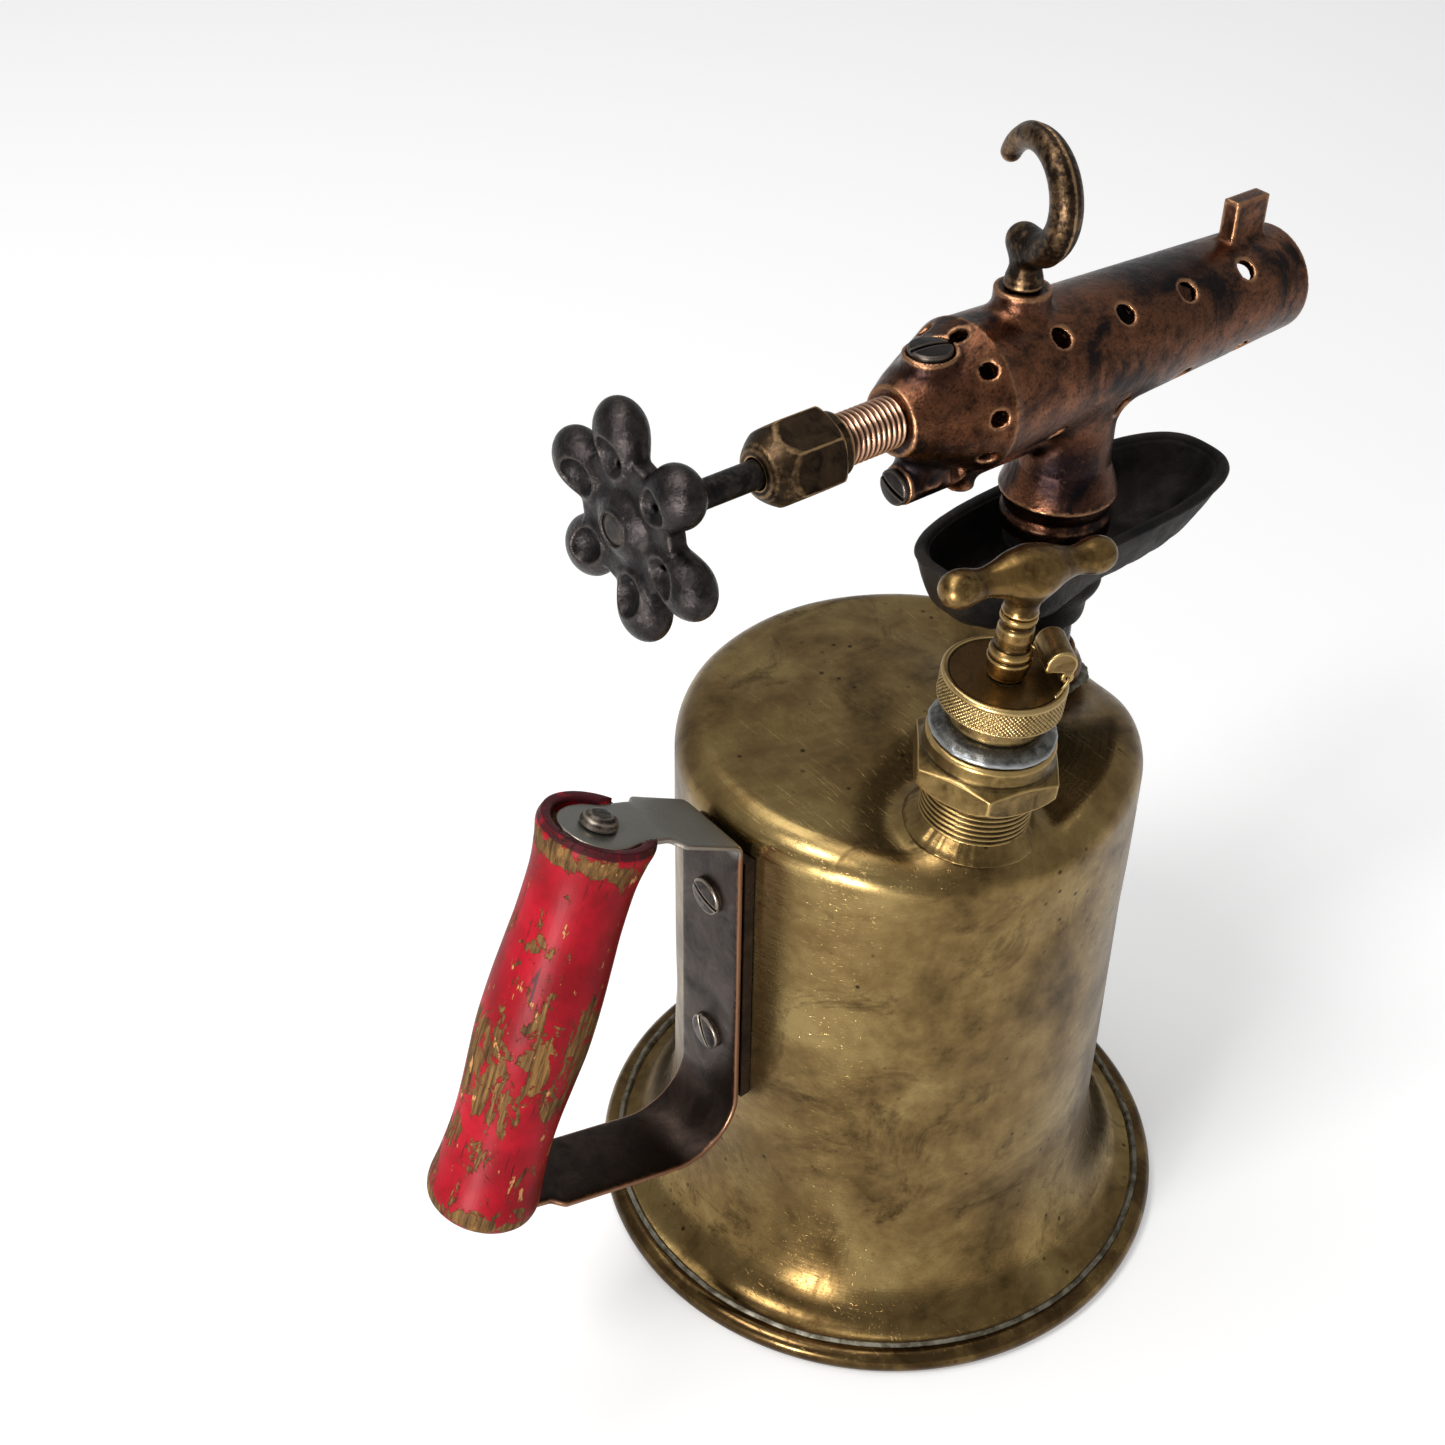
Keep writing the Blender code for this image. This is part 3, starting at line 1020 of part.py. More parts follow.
def build_handle(tank):
    stations = strap_stations()
    rings = []
    for i, (point, half_width) in enumerate(stations):
        ahead = stations[min(i + 1, len(stations) - 1)][0] - stations[max(i - 1, 0)][0]
        normal = ahead.normalized().cross(Vector((0, 1, 0))) * STRAP_THICKNESS / 2
        side = Vector((0, half_width, 0))
        rings.append([point + normal + side, point - normal + side,
                      point - normal - side, point + normal - side])
    strap = place("handle_strap", bridge_rings(rings), "dark_steel", tank, sharp=30)

    outer = TANK_RADIUS + GAP + SADDLE_WALL
    spread = atan2(STRAP_HALF_WIDTH, TANK_RADIUS)
    outline = [(-outer, STRAP_HALF_WIDTH), (-outer, -STRAP_HALF_WIDTH)]
    for i in range(9):
        a = spread * (i / 4 - 1)
        outline.append((-(TANK_RADIUS + GAP) * cos(a), (TANK_RADIUS + GAP) * sin(a)))
    rings = [[(x, y, z) for x, y in outline] for z in (SADDLE_FOOT, SADDLE_TOP)]
    saddle = place("saddle_plate", bridge_rings(rings), "dark_steel", tank)

    face = strap_centre() - STRAP_THICKNESS / 2
    shank_end = -(face + TANK_RADIUS + 2 * GAP)
    for name, drop, turn in zip(("upper", "lower"), SCREW_DROPS, SCREW_TURNS):
        axis = frame("screw_axis_" + name, (face, 0, TANK_HEIGHT - drop), (0, -pi / 2, 0), tank)
        build_strap_screw("strap_screw_" + name, axis, turn, shank_end)
        hole = SCREW_SHANK_RADIUS + SCREW_HOLE_CLEARANCE
        bore = rod_mesh(hole, -shank_end - CUT_OVERRUN, CUT_OVERRUN, SMALL_SIDES)
        drill = guide("screw_hole_" + name, bore, axis)
        cut(strap, drill)
        cut(saddle, drill)
    build_grip(tank, strap)


def build_strap_screw(name, axis, turn, shank_end):
    """A slotted screw with a low domed head, its shank ending just short of the tank wall."""
    head = SCREW_HEAD_HEIGHT + GAP
    dome = [(0, head)]
    for share in SCREW_DOME_SHARES:
        dome.append((SCREW_HEAD_RADIUS * share, head - SCREW_HEAD_HEIGHT * (1 - sqrt(1 - share * share))))
    screw = turned(name, dome + [(SCREW_HEAD_RADIUS, GAP), (SCREW_SHANK_RADIUS, GAP),
                                 (SCREW_SHANK_RADIUS, -shank_end), (0, -shank_end)], "dark_steel", axis,
                   sides=SMALL_SIDES)
    cut(screw, slot_guide(name + "_slot", SCREW_HEAD_RADIUS, SCREW_SLOT_WIDTH, SCREW_SLOT_DEPTH, head, axis,
                          rotation=(0, 0, radians(turn))))


def build_grip(tank, strap):
    top, low, middle = pad_places()
    axis = frame("grip_axis", middle, (0, radians(GRIP_LEAN), 0), tank)
    half = GRIP_LENGTH / 2
    outline = [(GRIP_END_RADIUS * size, GRIP_LENGTH * height) for height, size in GRIP_PROFILE_SHARES]
    top_floor = half - GRIP_TOP_RECESS
    low_floor = -(half - GRIP_LOW_RECESS)
    profile = outline + [
        (GRIP_RECESS_RADIUS, half), (GRIP_RECESS_RADIUS, top_floor), (GRIP_BORE_RADIUS, top_floor),
        (GRIP_BORE_RADIUS, low_floor), (GRIP_RECESS_RADIUS, low_floor), (GRIP_RECESS_RADIUS, -half)]
    grip = turned("wooden_grip", profile, "red_wood", axis, sides=LARGE_SIDES, closed=True)
    mouth = STRAP_NECK_HALF_WIDTH + 2 * GAP
    reach = GRIP_END_RADIUS + CUT_OVERRUN
    cut(grip,
        guide("grip_top_mouth", box_mesh((0, -mouth, top_floor), (reach, mouth, half + CUT_OVERRUN)), axis),
        guide("grip_low_mouth", box_mesh((0, -mouth, -half - CUT_OVERRUN), (reach, mouth, low_floor)), axis))

    top_face = top_floor + GAP + STRAP_THICKNESS
    low_face = low_floor - GAP - STRAP_THICKNESS
    head = top_face + GAP
    tail = low_face - GAP - BOLT_NUT_HEIGHT - BOLT_TAIL
    dome = [(BOLT_HEAD_RADIUS * out, head + BOLT_HEAD_HEIGHT * up) for out, up in BOLT_DOME_SHARES]
    turned("grip_bolt", dome + [(BOLT_RADIUS, head), (BOLT_RADIUS, tail), (0, tail)], "dark_steel", axis,
           sides=SMALL_SIDES)
    nut_top = low_face - GAP
    nut = place("grip_nut", prism_mesh(BOLT_NUT_FLATS, nut_top - BOLT_NUT_HEIGHT, nut_top), "dark_steel",
                axis)
    bore = guide("bolt_bore",
                 rod_mesh(BOLT_RADIUS + GAP, tail - CUT_OVERRUN, head + CUT_OVERRUN, SMALL_SIDES), axis)
    cut(nut, bore)
    cut(strap, bore)


def cap_levels():
    """Heights of the cap's seat, neck top and upper face along the pump axis."""
    seat = PUMP_NUT_TOP + GAP + GASKET_HEIGHT + GAP
    neck_top = seat + CAP_NECK_HEIGHT
    return seat, neck_top, neck_top + CAP_HEIGHT


def build_pump(tank, shell):
    lean, azimuth = radians(PUMP_LEAN), radians(PUMP_LEAN_AZIMUTH)
    pump = frame("pump_axis", (PUMP_X, PUMP_Y, TANK_HEIGHT), (0, lean, azimuth), tank)
    hole = guide("pump_hole", rod_mesh(NECK_RADIUS + GAP, NECK_FOOT, PUMP_NUT_TOP, LARGE_SIDES), pump)
    cut(shell, hole)
    turned("pump_neck", tube_profile(NECK_BORE_RADIUS, NECK_RADIUS, NECK_FOOT, NECK_TOP), "bright_brass",
           pump, sides=LARGE_SIDES, closed=True)
    build_pump_nut(pump)
    gasket_foot = PUMP_NUT_TOP + GAP
    gasket_top = gasket_foot + GASKET_HEIGHT
    turned("pump_gasket", [
        (GASKET_BORE_RADIUS, gasket_foot), (GASKET_RADIUS - GASKET_SLOPE, gasket_foot),
        (GASKET_RADIUS, gasket_foot + GASKET_SLOPE),
        (CAP_NECK_RADIUS + GASKET_SLOPE, gasket_top), (GASKET_BORE_RADIUS, gasket_top)],
        "lead", pump, sides=LARGE_SIDES, closed=True)
    build_cap(pump)
    turned("pump_barrel", tube_profile(BARREL_BORE_RADIUS, BARREL_RADIUS, -BARREL_DEPTH, PUMP_NUT_TOP),
           "aged_brass", pump, closed=True)
    build_plunger(pump)
    build_check_valve(pump)
    build_catch(pump)


def build_pump_nut(pump):
    """Hexagon with a chamfered foot under a wide round collar."""
    pump = frame("pump_nut_axis", (0, 0, 0), (0, 0, radians(PUMP_NUT_TURN)), pump)
    corner = PUMP_NUT_FLATS / 2 / cos(pi / HEX_SIDES) + GAP
    foot, middle, top = PUMP_NUT_FOOT, PUMP_NUT_HEX_TOP, PUMP_NUT_TOP
    nut = turned("pump_nut", [
        (0, middle), (PUMP_NUT_COLLAR_RADIUS, middle), (corner, PUMP_NUT_CORNER_TOP),
        (corner, PUMP_NUT_CORNER_FOOT), (PUMP_NUT_FOOT_RADIUS, foot), (0, foot)],
        "bright_brass", pump, sides=NUT_SIDES)
    boolean(nut, guide("pump_nut_flats", prism_mesh(PUMP_NUT_FLATS, foot - CUT_OVERRUN, top), pump),
            'INTERSECT')
    step = (top - middle) / 4
    collar = guide("pump_nut_collar", turned_mesh([
        (0, top), (PUMP_NUT_TOP_RADIUS, top), (PUMP_NUT_COLLAR_RADIUS, top - step),
        (PUMP_NUT_COLLAR_RADIUS, middle + step), (PUMP_NUT_TOP_RADIUS, middle - step), (0, middle - step)],
        NUT_SIDES), pump)
    join(nut, collar)
    ledge = NECK_TOP + GAP
    cut(nut, guide("pump_nut_bore", turned_mesh([
        (0, foot - CUT_OVERRUN), (NECK_RADIUS + GAP, foot - CUT_OVERRUN), (NECK_RADIUS + GAP, ledge),
        (BARREL_RADIUS + GAP, ledge), (BARREL_RADIUS + GAP, top + CUT_OVERRUN), (0, top + CUT_OVERRUN)],
        NUT_SIDES), pump))


def build_cap(pump):
    seat, neck_top, top = cap_levels()
    turned("pump_cap", [
        (CAP_BORE_RADIUS, seat - CAP_SPIGOT_DEPTH), (CAP_SPIGOT_RADIUS, seat - CAP_SPIGOT_DEPTH),
        (CAP_SPIGOT_RADIUS, seat), (CAP_NECK_RADIUS, seat), (CAP_NECK_RADIUS, neck_top),
        (CAP_RADIUS - CAP_RIM_BEVEL, neck_top), (CAP_RADIUS, neck_top + CAP_RIM_BEVEL),
        (CAP_RADIUS, top - CAP_RIM_BEVEL), (CAP_RADIUS - CAP_RIM_BEVEL, top),
        (CAP_DISH_RADIUS, top), (CAP_DISH_RADIUS - CAP_DISH_DEPTH, top - CAP_DISH_DEPTH),
        (CAP_BORE_RADIUS, top - CAP_DISH_DEPTH)], "bright_brass", pump, sides=LARGE_SIDES, closed=True)


def build_plunger(pump):
    """Rod, T-handle and the leather piston, all at the bottom of the stroke."""
    seat, neck_top, top = cap_levels()
    foot = top - CAP_DISH_DEPTH + GAP
    bead = foot + ROD_SKIRT_HEIGHT
    stem = bead + ROD_BEAD_HEIGHT
    stem_top = stem + ROD_STEM_HEIGHT
    shoulder = -ROD_SHOULDER_DEPTH
    slide = frame("plunger_axis", (0, 0, 0), parent=pump)
    bulge = arc(ROD_STEM_RADIUS, (bead + stem) / 2, ROD_BEAD_RADIUS - ROD_STEM_RADIUS, 75, -75, 3)
    scale = ROD_BEAD_HEIGHT / 2 / (ROD_BEAD_RADIUS - ROD_STEM_RADIUS)
    bulge = [(r, (bead + stem) / 2 + (z - (bead + stem) / 2) * scale) for r, z in bulge]
    turned("pump_rod", [(0, stem_top), (ROD_STEM_RADIUS - GAP, stem_top), (ROD_STEM_RADIUS, stem_top - GAP)]
           + bulge + [(ROD_SKIRT_RADIUS - GAP, bead - GAP), (ROD_SKIRT_RADIUS, foot), (ROD_RADIUS, foot),
                      (ROD_RADIUS, shoulder), (ROD_SPIGOT_RADIUS, shoulder),
                      (ROD_SPIGOT_RADIUS, shoulder - ROD_SPIGOT_LENGTH), (0, shoulder - ROD_SPIGOT_LENGTH)],
           "bright_brass", slide)

    tee = frame("tee_axis", (0, 0, stem_top + GAP), (0, 0, radians(TEE_AZIMUTH)), slide)
    arm = TEE_HALF_LENGTH
    bar = [(0, -arm - TEE_BALL_RADIUS)] + arc(0, -arm, TEE_BALL_RADIUS, -65, 35, 4)
    bar += [(TEE_ARM_RADIUS, -arm * share) for share in TEE_ARM_SHARES]
    bar += [(TEE_MIDDLE_RADIUS * TEE_BULGE_SHARES[1], -arm * TEE_BULGE_SHARES[0])]
    bar += [(TEE_MIDDLE_RADIUS, 0)] + [(r, -z) for r, z in bar[::-1]]
    root, waist = TEE_FOOT_SHARES
    height = TEE_STEM_HEIGHT
    handle = turned("tee_handle", [(r, z) for r, z in bar[::-1]], "bright_brass", tee, sides=SMALL_SIDES,
                    location=(0, 0, height), rotation=(0, pi / 2, 0), sharp=60)
    join(handle, guide("tee_stem", turned_mesh([
        (0, height), (TEE_MIDDLE_RADIUS * root[0], height - TEE_MIDDLE_RADIUS * root[1]),
        (TEE_STEM_RADIUS * waist[0], height * waist[1]), (TEE_STEM_RADIUS, 0), (0, 0)], SMALL_SIDES), tee))

    bore = ROD_SPIGOT_RADIUS + GAP
    first = shoulder - GAP
    leather_top = first - PLUNGER_WASHER_HEIGHT - GAP
    second = leather_top - LEATHER_WALL - GAP
    nut_top = second - PLUNGER_WASHER_HEIGHT - GAP
    for name, high, radius in (("upper", first, PLUNGER_WASHER_RADIUS),
                               ("lower", second, LEATHER_RADIUS - LEATHER_WALL - GAP)):
        turned("plunger_washer_" + name, tube_profile(bore, radius, high - PLUNGER_WASHER_HEIGHT, high),
               "bright_brass", slide, sides=SMALL_SIDES, closed=True)
    inner = LEATHER_RADIUS - LEATHER_WALL
    turned("plunger_leather", [
        (bore, leather_top), (LEATHER_RADIUS - LEATHER_WALL / 2, leather_top),
        (LEATHER_RADIUS, leather_top - LEATHER_WALL), (LEATHER_RADIUS, leather_top - LEATHER_SKIRT),
        (inner, leather_top - LEATHER_SKIRT),
        (inner, leather_top - LEATHER_WALL), (bore, leather_top - LEATHER_WALL)],
        "leather", slide, closed=True)
    nut = place("plunger_nut", prism_mesh(PLUNGER_NUT_FLATS, nut_top - PLUNGER_NUT_HEIGHT, nut_top),
                "bright_brass", slide)
    cut(nut, guide("plunger_nut_bore", rod_mesh(bore, nut_top - PLUNGER_NUT_HEIGHT - CUT_OVERRUN,
                                                nut_top + CUT_OVERRUN, SMALL_SIDES), slide))


def build_check_valve(pump):
    """Ball valve that lets air out of the barrel's foot and no fuel back in."""
    valve = frame("valve_axis", (0, 0, -BARREL_DEPTH - GAP), parent=pump)
    inlet = -VALVE_INLET_DEPTH
    cone = inlet - (VALVE_CHAMBER_RADIUS - VALVE_INLET_RADIUS)
    foot = -VALVE_HEIGHT
    turned("valve_body", [
        (VALVE_INLET_RADIUS, 0), (BARREL_RADIUS, 0), (BARREL_RADIUS, -VALVE_FLANGE_HEIGHT),
        (VALVE_RADIUS, -VALVE_FLANGE_HEIGHT), (VALVE_RADIUS, foot), (VALVE_CHAMBER_RADIUS, foot),
        (VALVE_CHAMBER_RADIUS, cone), (VALVE_INLET_RADIUS, inlet)], "bright_brass", valve, closed=True)
    ball_height = inlet + VALVE_INLET_RADIUS - (BALL_RADIUS + GAP) * sqrt(2)
    ball_mesh = bmesh.new()
    bmesh.ops.create_uvsphere(ball_mesh, u_segments=12, v_segments=8, radius=BALL_RADIUS)
    place("check_ball", ball_mesh, "bright_steel", valve, location=(0, 0, ball_height), sharp=60)
    plug_top = foot + VALVE_PLUG_HEIGHT
    turned("valve_plug", tube_profile(VALVE_PLUG_BORE_RADIUS, VALVE_CHAMBER_RADIUS - GAP, foot, plug_top),
           "bright_brass", valve, sides=SMALL_SIDES, closed=True)
    low = plug_top + GAP + SPRING_WIRE_RADIUS
    high = ball_height - sqrt((BALL_RADIUS + SPRING_WIRE_RADIUS + GAP) ** 2 - SPRING_RADIUS ** 2)
    count = SPRING_TURNS * SPRING_POINTS_PER_TURN
    rings = []
    for i in range(count + 1):
        a = 2 * pi * i / SPRING_POINTS_PER_TURN
        outward = Vector((cos(a), sin(a), 0))
        point = outward * SPRING_RADIUS + Vector((0, 0, low + (high - low) * i / count))
        rings.append([point + SPRING_WIRE_RADIUS * (cos(b) * outward + sin(b) * Vector((0, 0, 1)))
                      for b in (2 * pi * k / SPRING_SIDES for k in range(SPRING_SIDES))])
    place("check_spring", bridge_rings(rings), "bright_steel", valve, sharp=60)


def build_catch(pump):
    """Arched catch at the cap's edge and the wire that it turns on."""
    seat, neck_top, top = cap_levels()
    spot = frame("catch_axis", (CATCH_PIVOT_RING * cos(radians(CATCH_AZIMUTH)),
                                CATCH_PIVOT_RING * sin(radians(CATCH_AZIMUTH)), top + CATCH_PIVOT_HEIGHT),
                 (0, 0, radians(CATCH_AZIMUTH)), pump)
    knuckle = CATCH_KNUCKLE_RADIUS
    outer = CATCH_ARCH_RADIUS
    inner = outer - CATCH_THICKNESS
    rise = CATCH_ARCH_HEIGHT - CATCH_PIVOT_HEIGHT
    middle = knuckle - outer
    outline = arc(0, 0, knuckle, -200, -20, 6)
    outline += arc(middle, rise, outer, 0, 180, 8)
    outline += arc(middle, rise, inner, 180, 0, 5)
    rings = [[(x, y, z) for x, z in outline] for y in (-CATCH_HALF_WIDTH, CATCH_HALF_WIDTH)]
    catch = place("rod_catch", bridge_rings(rings), "bright_brass", spot, sharp=30)
    across = (pi / 2, 0, 0)
    reach = CATCH_HALF_WIDTH + CUT_OVERRUN
    cut(catch, guide("catch_bore", rod_mesh(CATCH_BORE_RADIUS, -reach, reach, 10), spot, rotation=across))

    curve = bpy.data.curves.new("catch_wire", 'CURVE')
    curve.dimensions = '3D'
    curve.bevel_depth = WIRE_RADIUS
    curve.bevel_resolution = 1
    curve.use_fill_caps = True
    drop = WIRE_RADIUS + GAP - CATCH_PIVOT_HEIGHT
    points = [(0, WIRE_FAR_END, 0), (0, -CATCH_HALF_WIDTH - 4 * WIRE_RADIUS, 0)]
    start = degrees(atan2(CATCH_HALF_WIDTH + 8 * WIRE_RADIUS, CATCH_PIVOT_RING))
    for i in range(WIRE_STEPS):
        a = -radians(start + (WIRE_TAIL_ANGLE - start) * i / (WIRE_STEPS - 1))
        ring = CATCH_PIVOT_RING + 2 * WIRE_RADIUS
        points.append((ring * cos(a) - CATCH_PIVOT_RING, ring * sin(a), drop))
    spline = curve.splines.new('POLY')
    spline.points.add(len(points) - 1)
    for item, point in zip(spline.points, points):
        item.co = (*point, 1)
    wire = bpy.data.objects.new("catch_wire", curve)
    bpy.context.collection.objects.link(wire)
    wire.parent = spot
    curve.materials.append(material("bright_brass"))


def build():
    clear_scene()
    tank = frame("tank_axis", (tank_offset(), 0, 0))
    shell = build_tank(tank)
    riser = build_riser(tank, shell)
    build_burner(tank, riser)
    build_handle(tank)
    build_pump(tank, shell)


build()
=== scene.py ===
# %% [markdown]
# # Dressing a brass gasoline blow torch
# The torch is already built as a CAD model: a spun brass tank, a bronze burner, a hand pump, a
# priming cup and a painted handle. This lesson gives it the surfaces that hands, fuel and a century
# on a shelf have left. Most visible pieces are made again here as smooth surfaces worked out with
# numpy, in the places where the CAD model has them.

import json
from functools import partial

import bpy
import numpy as np
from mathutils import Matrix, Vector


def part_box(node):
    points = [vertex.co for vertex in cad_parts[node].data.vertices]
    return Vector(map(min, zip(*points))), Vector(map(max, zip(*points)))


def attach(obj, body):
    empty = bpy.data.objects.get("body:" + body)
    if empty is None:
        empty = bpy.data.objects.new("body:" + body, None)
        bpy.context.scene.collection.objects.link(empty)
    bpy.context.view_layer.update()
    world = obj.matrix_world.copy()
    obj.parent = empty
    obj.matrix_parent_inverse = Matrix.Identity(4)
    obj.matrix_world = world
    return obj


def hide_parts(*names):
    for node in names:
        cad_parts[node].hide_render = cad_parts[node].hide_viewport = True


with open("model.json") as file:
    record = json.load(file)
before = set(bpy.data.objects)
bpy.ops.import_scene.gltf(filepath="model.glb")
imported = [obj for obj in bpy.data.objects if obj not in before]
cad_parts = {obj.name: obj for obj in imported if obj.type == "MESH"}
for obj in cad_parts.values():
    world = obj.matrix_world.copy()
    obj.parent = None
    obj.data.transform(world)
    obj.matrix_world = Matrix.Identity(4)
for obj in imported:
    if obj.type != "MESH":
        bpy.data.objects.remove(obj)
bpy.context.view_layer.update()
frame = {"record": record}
joints = {joint["name"]: joint for joint in frame["record"]["behaviour"]["joints"]}

# %% [markdown]
# ## Millimetres and working axes
# A drawing of the torch is in millimetres, measured from the middle of the tank, so the shapes below
# are too. Each group of pieces has its own axes: an origin and three directions. A shape is worked
# out upright on its own axes and carried into the world at the end. That keeps every formula simple,
# because a turned piece is always round the Z axis of its own group.

# %% Axes of the pieces
MM = 0.001
TANK_X = float(sum(corner.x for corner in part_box("tank_shell")) / 2)


def axes(x, y, z, lean=0, azimuth=0):
    """Origin in world metres and three directions; Z leans towards the azimuth, in degrees."""
    a, b = np.radians((lean, azimuth))
    across = [np.cos(a) * np.cos(b), np.cos(a) * np.sin(b), -np.sin(a)]
    side = [-np.sin(b), np.cos(b), 0]
    upward = [np.sin(a) * np.cos(b), np.sin(a) * np.sin(b), np.cos(a)]
    return np.array([TANK_X + x * MM, y * MM, z * MM]), np.array([across, side, upward])


def to_world(points, where):
    """Millimetres on a piece's own axes become metres in the world: origin + x X + y Y + z Z."""
    origin, basis = where
    return origin + np.asarray(points) @ basis * MM


TILT = 1.0
BURNER_Z = 217.1
RISER_X = 38.9
PUMP_XY = (-12.8, -33.3)
GRIP_X, GRIP_Z, GRIP_LEAN = -99.1, 108.7, 21.1
TANK_TOP, TANK_R = 140.7, 51.0
TANK = axes(0, 0, 0)
RISER = axes(RISER_X, 0, 0)
BURNER = axes(0, 0, BURNER_Z, lean=TILT)
BARREL = axes(0, 0, BURNER_Z, lean=90 + TILT)
STEM = axes(0, 0, BURNER_Z, lean=90 - TILT, azimuth=180)
PUMP = axes(*PUMP_XY, TANK_TOP, lean=5.5, azimuth=-38.5)
GRIP = axes(GRIP_X, 0, GRIP_Z, lean=GRIP_LEAN)
print("the pump axis leans as its joint does:", np.round(PUMP[1][2] - joints["plunger_slide"]["axis"], 4))

# %% [markdown]
# ## Colour and nodes
# Colours are written as the sRGB hex values that an eye or a paint chart gives, and one function turns
# them to the linear values that the shader works in. One more function adds a node to a material: what
# follows the node's kind fills its inputs in their order, so a noise takes its place, scale, detail and
# roughness. A name with a capital letter is an input by name, and a small one is a setting of the node.
# With those, a finish reads as a list of what it is made of.

# %% Helpers for every finish


def colour(code):
    """A hex sRGB colour as linear RGBA: each channel is raised along the sRGB curve."""
    channels = np.array([int(code[i:i + 2], 16) for i in (1, 3, 5)]) / 255
    linear = np.where(channels <= 0.04045, channels / 12.92, ((channels + 0.055) / 1.055) ** 2.4)
    return (*linear.tolist(), 1.0)


def feed(node, *values, **named):
    """Fills inputs, in order or by name, with a value, a hex colour, a socket or a node's live output."""
    live = [socket for socket in node.inputs if socket.enabled]
    pairs = [*zip(live, values), *((node.inputs[key.replace("_", " ")], named[key]) for key in named)]
    for socket, value in pairs:
        if isinstance(value, bpy.types.Node):
            value = next(output for output in value.outputs if output.enabled)
        if isinstance(value, bpy.types.NodeSocket):
            node.id_data.links.new(value, socket)
        else:
            socket.default_value = colour(value) if isinstance(value, str) else value


def add(tree, kind, *values, stops=(), **named):
    """Adds a node with its settings, its inputs and its colour ramp's stops, the two end ones first."""
    made = tree.nodes.new("ShaderNode" + kind)
    for key, value in named.items():
        if key[0].islower():
            setattr(made, key, value)
    for number, (place, tint) in enumerate(stops):
        ramp = made.color_ramp.elements
        element = ramp[-number] if number < 2 else ramp.new(place)
        element.position = place
        element.color = colour(tint) if isinstance(tint, str) else (tint, tint, tint, 1)
    feed(made, *values, **{key: value for key, value in named.items() if key[0].isupper()})
    return made


def per_mm(size):
    """The Scale that gives a noise or cell pattern features of that many millimetres."""
    return 1 / (size * MM)


def new_finish(name, metallic):
    """An empty finish: the material, its own `add`, its shader and the piece's Object coordinates."""
    made = bpy.data.materials.new(name)
    made.use_nodes = True
    node = partial(add, made.node_tree)
    shader = made.node_tree.nodes["Principled BSDF"]
    feed(shader, Metallic=metallic)
    return made, node, shader, node("TexCoord").outputs["Object"]


print("brass in linear light:", np.round(colour("#a48c5a"), 3))

# %% [markdown]
# ## Brass of the tank
# The tank was spun and drawn from sheet brass, about two parts copper to one of zinc, and then lived
# in a garage. Brass tarnishes unevenly: bright gold where hands rub it, olive and brown where they do
# not, with dark specks where flux or fuel sat. Three sizes of noise make that: clouds of tarnish the
# width of a palm, mottling the width of a thumb, and specks under a millimetre. The polishing marks
# run round the tank, so a noise that is stretched along the turn draws them.

# %% Spun and tarnished sheet brass


